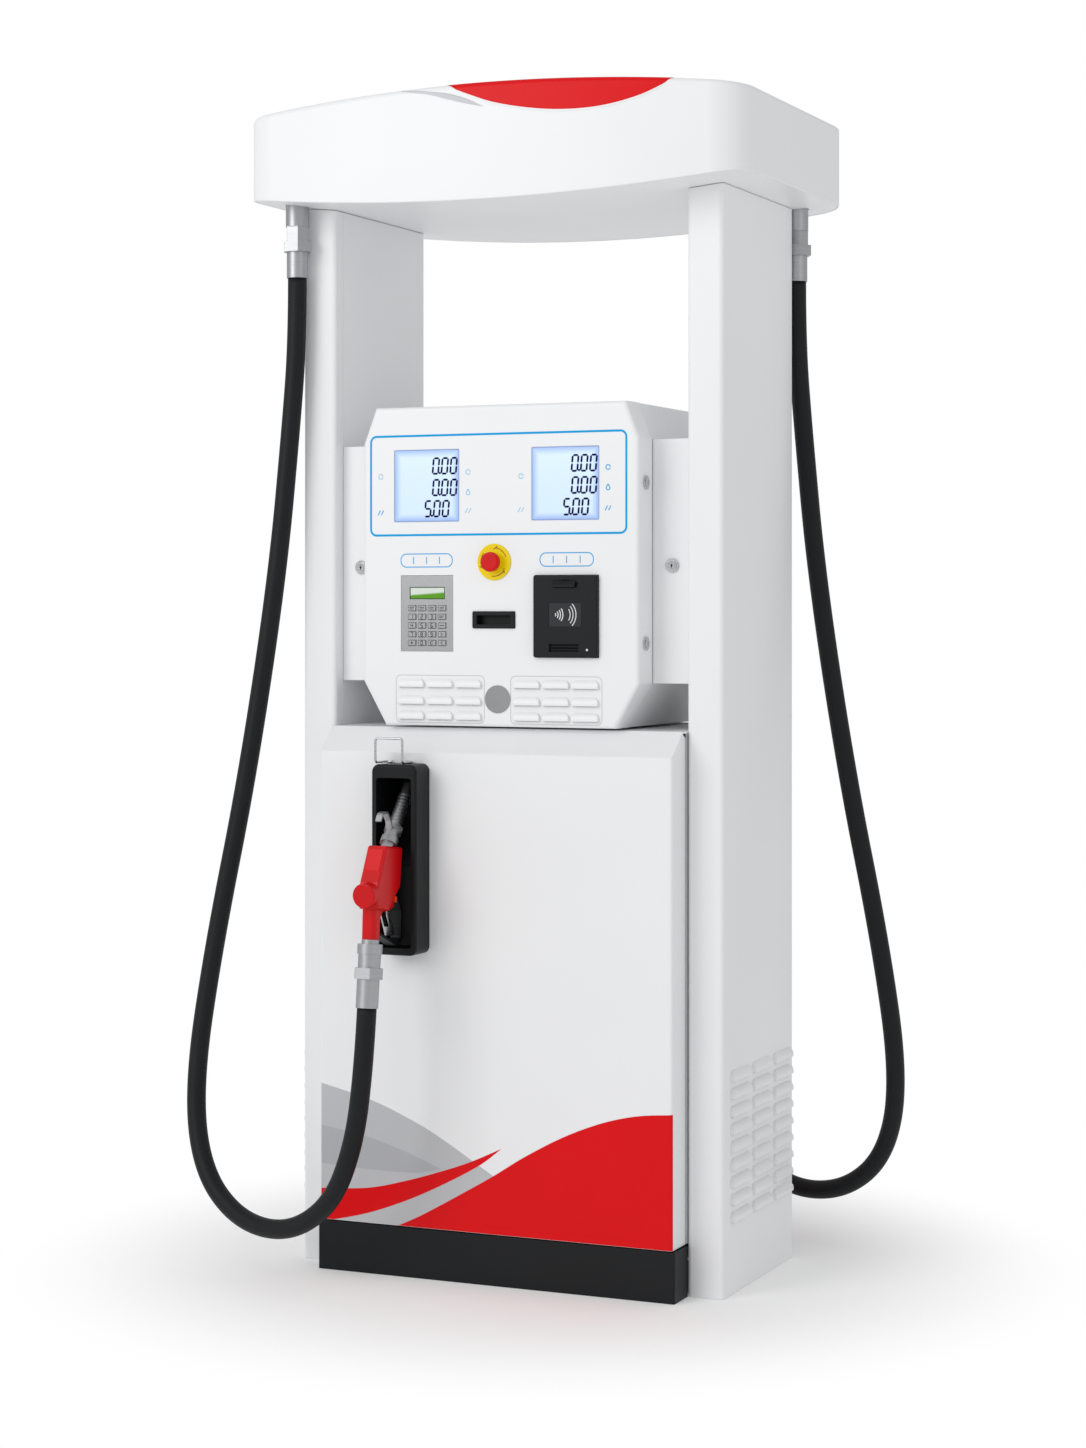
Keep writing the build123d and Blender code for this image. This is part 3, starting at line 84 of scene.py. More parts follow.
# ---------------------------------------------------------------- colours and nodes
def srgb(code: str) -> tuple[float, float, float, float]:
    """Turn an sRGB hex colour into the linear colour that Blender wants.

    Args:
        code: six hex digits, with or without a leading #.

    Returns:
        Linear red, green, blue and an alpha of 1.
    """
    channels = [int(code.lstrip("#")[i:i + 2], 16) / 255 for i in (0, 2, 4)]
    linear = [c / 12.92 if c <= 0.04045 else ((c + 0.055) / 1.055) ** 2.4 for c in channels]
    return (*linear, 1.0)


class Recipe:
    """One material while it is put together: its nodes, and the place that its textures read."""

    def __init__(self, name: str, coordinates: str = "Object") -> None:
        """Start an empty material.

        Args:
            name: the material's name.
            coordinates: which output of the coordinate node its textures read.
        """
        self.material = bpy.data.materials.new(name)
        self.material.use_nodes = True
        self.material.node_tree.nodes.clear()
        self.place = self.add("ShaderNodeTexCoord").outputs[coordinates]

    def add(self, kind: str, settings: dict | None = None, inputs: dict | None = None) -> bpy.types.Node:
        """Add one shader node, set its properties and fill its inputs.

        Args:
            kind: Blender's name of the node type.
            settings: property names and their values.
            inputs: input names or numbers, each with a value or another node's output.

        Returns:
            The new node.
        """
        tree = self.material.node_tree
        node = tree.nodes.new(kind)
        for name, value in (settings or {}).items():
            setattr(node, name, value)
        for name, value in (inputs or {}).items():
            if isinstance(value, Socket):
                tree.links.new(value, node.inputs[name])
            else:
                node.inputs[name].default_value = value
        return node

    def maths(self, operation: str, *values: float | Socket) -> Socket:
        """Result of one operation on numbers or other nodes' outputs."""
        return self.add("ShaderNodeMath", {"operation": operation}, dict(enumerate(values))).outputs[0]

    def noise(self, scale: float, detail: float, place: Socket | None = None) -> Socket:
        """Cloudy pattern from 0 to 1."""
        where = self.place if place is None else place
        return self.add("ShaderNodeTexNoise", inputs={
            "Vector": where, "Scale": scale, "Detail": detail}).outputs["Fac"]

    def tone(self, factor: Socket, low: str, high: str) -> Socket:
        """Colour between two hex codes."""
        return self.add("ShaderNodeMix", {"data_type": "RGBA"}, {
            "Factor": factor, 6: srgb(low), 7: srgb(high)}).outputs[2]

    def spread(self, value: Socket, low: float, high: float | Socket) -> Socket:
        """A value from 0 to 1, spread between low and high."""
        return self.add("ShaderNodeMapRange", inputs={
            "Value": value, "To Min": low, "To Max": high}).outputs[0]

    def ramp(self, value: Socket, start: float, end: float) -> Socket:
        """Smooth rise from 0 to 1 while a value runs from start to end."""
        return self.add("ShaderNodeMapRange", {"interpolation_type": "SMOOTHSTEP"}, {
            "Value": value, "From Min": start, "From Max": end}).outputs[0]

    def bump(self, height: Socket, strength: float, depth_mm: float, **more: Socket) -> Socket:
        """Normal of a surface that a pattern raises, on top of another normal if one is given."""
        return self.add("ShaderNodeBump", inputs={
            "Height": height, "Strength": strength, "Distance": depth_mm * MM, **more}).outputs["Normal"]

    def close(self, inputs: dict) -> bpy.types.Material:
        """Finish the material with a Principled shader, whose inputs are as add takes them."""
        shader = self.add("ShaderNodeBsdfPrincipled", inputs=inputs)
        self.add("ShaderNodeOutputMaterial", inputs={"Surface": shader.outputs["BSDF"]})
        return self.material


def per_mm(size_mm: float) -> float:
    """Scale of a texture, in cycles a metre, whose features are size_mm across."""
    return 1.0 / (size_mm * MM)


# ---------------------------------------------------------------- finishes
@dataclass(frozen=True)
class Finish:
    """A finish that drifts between a colour and a close shade of it."""

    name: str
    colour: str
    shade: str


@dataclass(frozen=True)
class PowderCoat(Finish):
    """Polyester powder coat on sheet steel: sprayed dry, then melted in an oven.

    The melt leaves a fine orange peel, which breaks up the edges of highlights, and rounds every
    edge a little.
    """

    roughness: float = 0.34
    sheen: float = 0.4
    peel_mm: float = 3.0
    peel_depth: float = 0.035
    cloud_mm: float = 260.0
    edge_mm: float = 1.6

    def make(self) -> bpy.types.Material:
        """Build the material."""
        recipe = Recipe(self.name)
        peel = recipe.noise(per_mm(self.peel_mm), 2.0)
        cloud = recipe.noise(per_mm(self.cloud_mm), 3.0)
        edge = recipe.add("ShaderNodeBevel", {"samples": 6}, {"Radius": self.edge_mm * MM})
        return recipe.close({
            "Base Color": recipe.tone(cloud, self.colour, self.shade), "IOR": 1.5,
            "Roughness": recipe.spread(cloud, self.roughness - 0.03, self.roughness + 0.05),
            "Specular IOR Level": self.sheen,
            "Normal": recipe.bump(peel, self.peel_depth, 1.0, Normal=edge.outputs[0])})


@dataclass(frozen=True)
class MouldedPlastic(Finish):
    """Injection-moulded ABS or polypropylene with a spark-eroded grain from its mould."""

    roughness: float = 0.45
    sheen: float = 0.25
    coat: float = 0.0
    grain_mm: float = 1.1
    grain_depth: float = 0.25
    flow_mm: float = 45.0

    def make(self) -> bpy.types.Material:
        """Build the material."""
        recipe = Recipe(self.name)
        grain = recipe.add("ShaderNodeTexVoronoi", {"feature": "SMOOTH_F1"}, {
            "Vector": recipe.place, "Scale": per_mm(self.grain_mm)})
        flow = recipe.noise(per_mm(self.flow_mm), 3.0)
        return recipe.close({
            "Base Color": recipe.tone(flow, self.colour, self.shade), "IOR": 1.48,
            "Roughness": recipe.spread(flow, self.roughness - 0.06, self.roughness + 0.08),
            "Specular IOR Level": self.sheen, "Coat Weight": self.coat, "Coat Roughness": 0.12,
            "Normal": recipe.bump(grain.outputs["Distance"], self.grain_depth, 0.3)})


@dataclass(frozen=True)
class WorkedMetal(Finish):
    """Bare metal with the marks of its tool: turned, drawn or brushed.

    stretch gives how long the marks are along x, y and z beside their width.
    """

    roughness: float = 0.3
    mark_mm: float = 0.7
    stretch: tuple[float, float, float] = (40.0, 40.0, 1.0)
    depth: float = 0.12

    def make(self) -> bpy.types.Material:
        """Build the material."""
        recipe = Recipe(self.name)
        along = recipe.add("ShaderNodeMapping", inputs={
            "Vector": recipe.place, "Scale": tuple(1.0 / s for s in self.stretch)})
        marks = recipe.noise(per_mm(self.mark_mm), 4.0, along.outputs[0])
        return recipe.close({
            "Base Color": recipe.tone(marks, self.colour, self.shade), "Metallic": 1.0,
            "Roughness": recipe.spread(marks, self.roughness - 0.08, self.roughness + 0.12),
            "Normal": recipe.bump(marks, self.depth, 0.3)})


@dataclass(frozen=True)
class WrappedRubber(Finish):
    """Nitrile hose cover, cured under a spiral of nylon tape that leaves its weave on the rubber."""

    wrap_mm: float = 3.2
    weave_scale: float = 0.9
    dust_scale: float = 0.012

    def make(self) -> bpy.types.Material:
        """Build the material. Its map runs in millimetres along and round the hose."""
        recipe = Recipe(self.name, "UV")
        bands = recipe.add("ShaderNodeTexWave", {"wave_profile": "SAW"}, {
            "Vector": recipe.place, "Scale": 1.0 / self.wrap_mm / 3.2, "Distortion": 1.2, "Detail": 2.0,
            "Detail Scale": 0.6})
        weave = recipe.noise(self.weave_scale, 3.0)
        dust = recipe.noise(self.dust_scale, 4.0)
        height = recipe.maths("MULTIPLY_ADD", weave, 0.5, bands.outputs["Fac"])
        return recipe.close({
            "Base Color": recipe.tone(dust, self.colour, self.shade), "IOR": 1.52,
            "Roughness": recipe.spread(weave, 0.42, 0.62), "Specular IOR Level": 0.22,
            "Normal": recipe.bump(height, 0.35, 0.5)})


@dataclass(frozen=True)
class CutVinyl(Finish):
    """Cast vinyl film, cut to shape and rolled down: even colour with a faint print grain."""

    roughness: float = 0.36
    sheen: float = 0.15
    grain_mm: float = 1.5
    cloud_mm: float = 180.0

    def make(self) -> bpy.types.Material:
        """Build the material."""
        recipe = Recipe(self.name)
        grain = recipe.noise(per_mm(self.grain_mm), 2.0)
        cloud = recipe.noise(per_mm(self.cloud_mm), 2.0)
        return recipe.close({
            "Base Color": recipe.tone(cloud, self.colour, self.shade), "Roughness": self.roughness,
            "IOR": 1.5, "Specular IOR Level": self.sheen, "Normal": recipe.bump(grain, 0.03, 0.5)})


@dataclass(frozen=True)
class LitCrystal(Finish):
    """Liquid-crystal panel that glows with its backlight: its colour in the middle, and at the rim its shade,
    painted shade for the shadow that the bezel casts inside it.
    """

    strength: float = 0.34
    # Painted shade at the rim: where it starts and where it is full, as distance from the middle over the
    # panel's size.
    rim: Point = (0.38, 0.53)

    def make(self) -> bpy.types.Material:
        """Build the material. Its map runs from 0 to 1 over the panel."""
        recipe = Recipe(self.name, "UV")
        axes = recipe.add("ShaderNodeSeparateXYZ", inputs={"Vector": recipe.place}).outputs
        far = recipe.maths("MAXIMUM", *(
            recipe.maths("ABSOLUTE", recipe.maths("SUBTRACT", axes[axis], 0.5)) for axis in ("X", "Y")))
        tone = recipe.tone(recipe.ramp(far, *self.rim), self.colour, self.shade)
        return recipe.close({
            "Base Color": tone, "Roughness": 0.12, "IOR": 1.5,
            "Emission Color": tone, "Emission Strength": self.strength})


@dataclass(frozen=True)
class PaintedReflectionCrystal(Finish):
    """Small crystal panel with a painted reflection: its pale shade above a slanting edge, painted where it
    would mirror the sky, and its colour below.
    """

    slant: float = -0.22
    edge: Point = (0.24, 0.42)

    def make(self) -> bpy.types.Material:
        """Build the material. Its map runs from 0 to 1 over the panel."""
        recipe = Recipe(self.name, "UV")
        axes = recipe.add("ShaderNodeSeparateXYZ", inputs={"Vector": recipe.place}).outputs
        # Painted reflection: the pale shade above a slanting line stands in for the sky mirrored in the
        # glass; the material does not glow.
        level = recipe.maths("MULTIPLY_ADD", axes["X"], self.slant, axes["Y"])
        return recipe.close({
            "Base Color": recipe.tone(recipe.ramp(level, *self.edge), self.colour, self.shade),
            "Roughness": 0.2, "IOR": 1.5, "Specular IOR Level": 0.2})


class Finishes:
    """Every finish on the dispenser, each made once and looked up by its name."""

    def __init__(self) -> None:
        """List the finishes and build their materials."""
        entries = [
            PowderCoat("white_powder_coat", "#F3F4F5", "#EEEFF1"),
            PowderCoat("black_powder_coat", "#151719", "#1B1D1F", roughness=0.42, sheen=0.2),
            PowderCoat("grey_primer", "#77797B", "#6D6F71", roughness=0.55),
            PowderCoat("motor_enamel", "#4A5A66", "#42505B", roughness=0.3),
            MouldedPlastic("boot_polypropylene", "#0E0F11", "#141618", roughness=0.42, sheen=0.22),
            MouldedPlastic("reader_polycarbonate", "#141618", "#1A1C1E", roughness=0.4,
                           grain_depth=0.12, sheen=0.2),
            MouldedPlastic("reader_window", "#2B2E31", "#323538", roughness=0.3, grain_depth=0.0, sheen=0.2),
            # Near-black painted shade for the reader's hood and slot.
            MouldedPlastic("mouth_painted_shade", "#060607", "#090A0B", roughness=0.6, sheen=0.1),
            MouldedPlastic("nozzle_red_sleeve", "#D4080F", "#C4070D", roughness=0.34, grain_mm=2.0,
                           grain_depth=0.08, coat=0.12, sheen=0.2),
            MouldedPlastic("nozzle_red_pad", "#E2141A", "#D81016", roughness=0.3, grain_depth=0.03, coat=0.2),
            MouldedPlastic("seal_grey", "#B9BBBD", "#B1B3B5", roughness=0.8, grain_depth=0.3),
            MouldedPlastic("stop_yellow_plate", "#F6DC06", "#F0D204", roughness=0.34,
                           grain_depth=0.05, sheen=0.2),
            MouldedPlastic("stop_red_mushroom", "#D8060C", "#C8050A", roughness=0.3,
                           grain_depth=0.04, coat=0.1, sheen=0.2),
            MouldedPlastic("clip_orange", "#F0481E", "#E23F18", roughness=0.35),
            MouldedPlastic("plug_grey", "#9B9C9D", "#939495", roughness=0.5, grain_depth=0.1),
            MouldedPlastic("belt_rubber", "#17181A", "#1E2021", roughness=0.7),
            MouldedPlastic("ink_navy", "#070C40", "#0A104A", roughness=0.5, sheen=0.05, grain_depth=0.0),
            # Black ink for legends, also used for painted shade on key edges and in keyholes.
            MouldedPlastic("black_ink_and_painted_shade", "#1C1E20", "#2A2C2E", roughness=0.4, grain_depth=0.0),
            MouldedPlastic("ink_brown", "#8A6A12", "#7A5C0E", roughness=0.4, grain_depth=0.0),
            MouldedPlastic("ink_green", "#274F14", "#1F4210", roughness=0.4, grain_depth=0.0),
            MouldedPlastic("ink_white", "#E9EAEA", "#DCDDDD", roughness=0.4, grain_depth=0.0),
            WorkedMetal("turned_aluminium", "#BCBDBF", "#A8A9AC", roughness=0.4, mark_mm=1.6, depth=0.03),
            WorkedMetal("polished_steel", "#C8C9CB", "#B9BABD", roughness=0.26, mark_mm=1.5, depth=0.02),
            WorkedMetal("brushed_stainless", "#A9AAAB", "#8B8C8E", roughness=0.34, mark_mm=0.5,
                        stretch=(1.0, 30.0, 60.0)),
            WorkedMetal("lock_chrome", "#D5D6D8", "#BFC0C2", roughness=0.12, mark_mm=2.0, depth=0.02),
            WorkedMetal("cast_iron", "#54575A", "#45484B", roughness=0.55, mark_mm=1.2,
                        stretch=(1.0, 1.0, 1.0), depth=0.5),
            WorkedMetal("valve_brass", "#C9A45A", "#B8934A", roughness=0.3),
            WorkedMetal("drawn_tube", "#B6B8BA", "#9FA1A4", roughness=0.3, stretch=(1.0, 1.0, 40.0)),
            WrappedRubber("hose_rubber", "#101214", "#181A1C"),
            CutVinyl("vinyl_red", "#E20B13", "#DC0910"),
            CutVinyl("vinyl_light_grey", "#C3C4C7", "#BEBFC2"),
            CutVinyl("vinyl_mid_grey", "#B5B6BA", "#B0B1B5"),
            CutVinyl("vinyl_white", "#F4F4F5", "#F0F0F1"),
            # Silver vinyl for the canopy swoosh, also used as painted shade round the louvre patches.
            CutVinyl("silver_vinyl_and_painted_shade", "#CFD0D4", "#C9CACE"),
            CutVinyl("print_blue", "#12A8E8", "#0EA0E0", sheen=0.05),
            CutVinyl("rim_blue", "#A9BCDD", "#A1B4D6", sheen=0.1),
            CutVinyl("print_pale_blue", "#7CC6EE", "#74C0EA"),
            # Backlit displays; the darker colour at their rims is painted shade.
            LitCrystal("display_backlight", "#C2D6EE", "#86A2DC"),
            # Keypad window: green below, with a painted reflection of the sky above.
            PaintedReflectionCrystal("keypad_painted_reflection", "#5E9F22", "#DDE5DC"),
        ]
        self._made = {entry.name: entry.make() for entry in entries}

    def __getitem__(self, name: str) -> bpy.types.Material:
        """The material of that name."""
        return self._made[name]


# ---------------------------------------------------------------- meshes
def mesh_object(
    name: str, vertices: Sequence[Sequence[float]], faces: Sequence[Sequence[int]], smooth: bool = False
) -> bpy.types.Object:
    """Make a mesh object at the origin from points in metres.

    Args:
        name: the piece's name.
        vertices: its points.
        faces: its faces, as numbers of points.
        smooth: whether faces are shaded smooth.

    Returns:
        The object, linked to the scene.
    """
    mesh = bpy.data.meshes.new(name)
    mesh.from_pydata([tuple(v) for v in vertices], [], [tuple(f) for f in faces])
    mesh.validate()
    mesh.update()
    for polygon in mesh.polygons:
        polygon.use_smooth = smooth
    obj = bpy.data.objects.new(name, mesh)
    bpy.context.scene.collection.objects.link(obj)
    return obj


@dataclass
class Slab:
    """Thin prisms that stand on an upright plane facing a lane, gathered into one mesh.

    Outlines are in millimetres of x and z as seen from the front lane, and the slab's foot is at
    plane_y, with its face further out by its thickness.
    """

    side: Side
    plane_y: float
    thickness: float
    vertices: list[Vector] = field(default_factory=list)
    faces: list[list[int]] = field(default_factory=list)

    def add(self, outline: Sequence[Point]) -> None:
        """Add one closed outline, given anticlockwise as seen from the lane."""
        first, count = len(self.vertices), len(outline)
        for y in (self.plane_y, self.plane_y - self.thickness):
            self.vertices += [self.side.place((x, y, z)) for x, z in outline]
        front = list(range(first + count, first + 2 * count))
        self.faces.append(front)
        self.faces.append(list(range(first + count - 1, first - 1, -1)))
        for i in range(count):
            after = (i + 1) % count
            self.faces.append([first + i, first + after, first + count + after, first + count + i])

    def add_line(self, path: Sequence[Point], width: float, closed: bool = False) -> None:
        """Add a line of a given width along a path, as one quad for each run."""
        count = len(path)
        sides: list[tuple[Point, Point]] = []
        for i, (x, z) in enumerate(path):
            before = path[i - 1] if closed or i else path[i]
            after = path[(i + 1) % count] if closed or i < count - 1 else path[i]
            run = Vector((after[0] - before[0], after[1] - before[1])).normalized() * (width / 2)
            sides.append(((x - run.y, z + run.x), (x + run.y, z - run.x)))
        for i in range(count if closed else count - 1):
            (a, b), (c, d) = sides[i], sides[(i + 1) % count]
            self.add([b, d, c, a])

    def build(self, name: str) -> bpy.types.Object:
        """Make the object."""
        return mesh_object(self.side.node(name), self.vertices, self.faces)


def arc_points(centre: Point, radius: float, start: float, end: float, steps: int = 12) -> list[Point]:
    """Points on an arc.

    Args:
        centre: its centre.
        radius: its radius.
        start: first angle in degrees from +x towards +z.
        end: last angle.
        steps: how many runs the arc has.

    Returns:
        The points, both ends included.
    """
    angles = [math.radians(start + (end - start) * i / steps) for i in range(steps + 1)]
    return [(centre[0] + radius * math.cos(a), centre[1] + radius * math.sin(a)) for a in angles]


def rounded_rectangle(
    centre: Point, width: float, height: float, radius: float, steps: int = 8
) -> list[Point]:
    """Outline of a rectangle with round corners, anticlockwise."""
    points: list[Point] = []
    for sx, sz, start in ((1, 1, 0), (-1, 1, 90), (-1, -1, 180), (1, -1, 270)):
        corner = (centre[0] + sx * (width / 2 - radius), centre[1] + sz * (height / 2 - radius))
        points += arc_points(corner, radius, start, start + 90, steps)
    return points


@dataclass
class Dressing:
    """Pieces added to one lane, and the finishes that they take."""

    side: Side
    finishes: Finishes

    def put(self, obj: bpy.types.Object, body: str, slot: str, finish: str) -> None:
        """Give a new piece its finish and its body.

        Args:
            obj: the piece, already in place.
            body: the CAD body that it moves with.
            slot: the record's material slot; not used.
            finish: the finish's name.
        """
        obj.data.materials.append(self.finishes[finish])
        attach(obj, body)
        LOG.info("%s on %s", obj.name, body)

    def stick(self, slab: Slab, name: str, body: str, slot: str, finish: str) -> None:
        """Make a slab's object, named for its side, and put it on its body."""
        self.put(slab.build(name), body, slot, finish)

    def film(self, name: str, columns: Sequence[Sequence[Vector]], finish: str) -> None:
        """Make a film on the root's white sheet.

        Args:
            name: the piece's name, without its side.
            columns: equally long columns of points for the front in millimetres, from left to right,
                each from low to high.
            finish: the film's finish.
        """
        rows = len(columns[0])
        vertices = [self.side.place(point) for column in columns for point in column]
        faces = [[c * rows + r, (c + 1) * rows + r, (c + 1) * rows + r + 1, c * rows + r + 1]
                 for c in range(len(columns) - 1) for r in range(rows - 1)]
        obj = mesh_object(self.side.node(name), vertices, faces, smooth=True)
        self.put(obj, "root", "white_paint", finish)


# ---------------------------------------------------------------- studio
@dataclass
class Studio:
    """Pale floor with painted shade round the dispenser's foot, soft lights and the camera."""

    aim_angle: float = 23.78          # degrees that the camera stands to the right of the front
    distance: float = 5.8168
    offset: float = -0.0109
    eye_height: float = 1.2961
    lens: float = 72.25
    shift_y: float = -0.0791
    floor_size: float = 60.0
    floor_glow: float = 0.2
    floor_bounce: float = 0.80
    floor_z: float = -0.0005
    # Painted shade: distances from the middle, in metres, over which the floor's glow rises to white.
    shadow_reach: Point = (0.52, 1.1)
    sky: float = 0.60
    # Each light's name, place, aim, size and power.
    lights: tuple = (
        ("key_light", (-3.2, -6.0, 3.6), (0, 0, 1.2), 3.4, 130),
        ("right_light", (6.0, -2.5, 3.0), (0, 0, 1.1), 3.0, 14),
        ("front_fill", (-0.6, -4.4, 5.0), (0, -0.2, 1.1), 2.6, 22),
    )

    def camera(self) -> None:
        """Create the camera."""
        angle = math.radians(self.aim_angle)
        ahead = Vector((-math.sin(angle), math.cos(angle), 0.0))
        right = Vector((math.cos(angle), math.sin(angle), 0.0))
        data = bpy.data.cameras.new("camera")
        data.lens, data.sensor_width, data.shift_y = self.lens, 36.0, self.shift_y
        data.clip_end = 200.0
        camera = bpy.data.objects.new("camera", data)
        camera.location = -ahead * self.distance + right * self.offset + Vector((0, 0, self.eye_height))
        camera.rotation_euler = (math.radians(90), 0.0, angle)
        bpy.context.scene.collection.objects.link(camera)
        bpy.context.scene.camera = camera

    def area(
        self, name: str, place: Sequence[float], aim: Sequence[float], size: float, power: float
    ) -> None:
        """Add one square soft light that looks at a point."""
        data = bpy.data.lights.new(name, "AREA")
        data.size, data.energy = size, power
        light = bpy.data.objects.new(name, data)
        light.location = place
        light.rotation_euler = (Vector(aim) - Vector(place)).to_track_quat("-Z", "Y").to_euler()
        bpy.context.scene.collection.objects.link(light)

    def sky_light(self) -> None:
        """Even soft light from all round, behind which the background stays white."""
        world = bpy.data.worlds.new("studio")
        world.use_nodes = True
        tree = world.node_tree
        background = tree.nodes["Background"]
        background.inputs[0].default_value = srgb("#FFFFFF")
        path = tree.nodes.new("ShaderNodeLightPath")
        level = tree.nodes.new("ShaderNodeMapRange")
        level.inputs["To Min"].default_value, level.inputs["To Max"].default_value = self.sky, 1.0
        tree.links.new(path.outputs["Is Camera Ray"], level.inputs["Value"])
        tree.links.new(level.outputs[0], background.inputs[1])
        bpy.context.scene.world = world

    def build(self) -> None:
        """Floor, lights and background."""
        half = self.floor_size / 2
        corners = [(x * half, y * half, self.floor_z) for x, y in ((-1, -1), (1, -1), (1, 1), (-1, 1))]
        floor = mesh_object("studio_floor", corners, [(0, 1, 2, 3)])
        recipe = Recipe("studio_paper")
        far = recipe.add("ShaderNodeVectorMath", {"operation": "LENGTH"}, {0: recipe.place})
        # Painted shade: the floor glows less near the dispenser and rises to plain white further off,
        # standing in for the soft shadow round its foot.
        painted_glow_rise = recipe.ramp(far.outputs["Value"], *self.shadow_reach)
        path = recipe.add("ShaderNodeLightPath")
        white = recipe.spread(path.outputs["Is Camera Ray"], self.floor_bounce, 1.0)
        material = recipe.close({
            "Base Color": recipe.tone(painted_glow_rise, "#E6E6E6", "#000000"), "Roughness": 1.0,
            "Specular IOR Level": 0.0, "Emission Color": srgb("#FFFFFF"),
            "Emission Strength": recipe.spread(painted_glow_rise, self.floor_glow, white)})
        floor.data.materials.append(material)
        self.sky_light()
        for light in self.lights:
            self.area(*light)
        bpy.context.scene.view_settings.view_transform = "Standard"


# ---------------------------------------------------------------- hoses
@dataclass
class Hose:
    """One delivery hose, hanging from its outlet to the nozzle's swivel."""

    side: Side
    diameter: float = 0.0375
    round_steps: int = 40
    run_steps: int = 16
    # Route from the outlet's ferrule to the swivel's ferrule, in metres.
    route: tuple[tuple[float, float, float], ...] = (
        (-0.445, -0.230, 1.955),
        (-0.445, -0.230, 1.831),
        (-0.457, -0.234, 1.660),
        (-0.482, -0.245, 1.362),
        (-0.538, -0.265, 0.968),
        (-0.601, -0.290, 0.627),
        (-0.633, -0.315, 0.352),
        (-0.597, -0.345, 0.191),
        (-0.500, -0.375, 0.105),
        (-0.373, -0.405, 0.093),
        (-0.262, -0.431, 0.162),
        (-0.205, -0.447, 0.285),
        (-0.181, -0.4538, 0.4338),
        (-0.181, -0.441, 0.543),
    )
    # Meant as the stretch over which the hose passes from standing still to following its nozzle; nothing
    # reads it.
    blend_start: tuple[float, float, float] = (-0.430, -0.4, 0.3)
    blend_end: tuple[float, float, float] = (-0.205, -0.4, 0.3)

    def points(self) -> list[Vector]:
        """Points of the smooth line that the route's control points pull."""
        curve = bpy.data.curves.new("hose_route", "CURVE")
        curve.dimensions = "3D"
        spline = curve.splines.new("NURBS")
        spline.points.add(len(self.route) - 1)
        for point, (x, y, z) in zip(spline.points, self.route):
            point.co = (self.side.sign * x, self.side.sign * y, z, 1.0)
        spline.order_u = 3
        spline.use_endpoint_u = True
        spline.resolution_u = self.run_steps
        carrier = bpy.data.objects.new("hose_route", curve)
        mesh = bpy.data.meshes.new_from_object(carrier)
        line = [vertex.co.copy() for vertex in mesh.vertices]
        bpy.data.objects.remove(carrier)
        return line

    def build(self, finishes: Finishes) -> bpy.types.Object:
        line = self.points()
        radius, count = self.diameter / 2, self.round_steps
        across = Vector((0, self.side.sign, 0))
        vertices, along = [], [0.0]
        for i, here in enumerate(line):
            ahead = (line[min(i + 1, len(line) - 1)] - line[max(i - 1, 0)]).normalized()
            across = (across - ahead * across.dot(ahead)).normalized()
            up = ahead.cross(across)
            turns = [math.tau * k / count for k in range(count)]
            vertices += [here + (across * math.cos(turn) + up * math.sin(turn)) * radius for turn in turns]
            if i:
                along.append(along[-1] + (here - line[i - 1]).length)
        faces = [[i * count + k, i * count + (k + 1) % count,
                  (i + 1) * count + (k + 1) % count, (i + 1) * count + k]
                 for i in range(len(line) - 1) for k in range(count)]
        side_faces = len(faces)
        faces.append(list(range(count - 1, -1, -1)))
        faces.append(list(range((len(line) - 1) * count, len(line) * count)))
        hose = mesh_object(self.side.node("delivery_hose"), vertices, faces, smooth=True)
        self.map_lengths(hose.data, along, side_faces)
        hose.data.materials.append(finishes["hose_rubber"])
        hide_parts(self.side.node("hose"))
        self.side.node("nozzle")
        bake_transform(hose)
        LOG.info("%s is %.2f m long", hose.name, along[-1])
        return hose

    def map_lengths(self, mesh: bpy.types.Mesh, along: list[float], side_faces: int) -> None:
        """Lay a map in millimetres along and round the hose, for its wrap marks."""
        layer = mesh.uv_layers.new(name="wrap")
        girth = math.pi * self.diameter / MM
        for polygon in mesh.polygons:
            for corner, loop in zip((0, 1, 1, 0), polygon.loop_indices):
                vertex = mesh.loops[loop].vertex_index
                ring, step = divmod(vertex, self.round_steps)
                turn = step + (self.round_steps if corner and step == 0 else 0)
                if polygon.index < side_faces:
                    layer.data[loop].uv = (along[ring] / MM, girth * turn / self.round_steps)


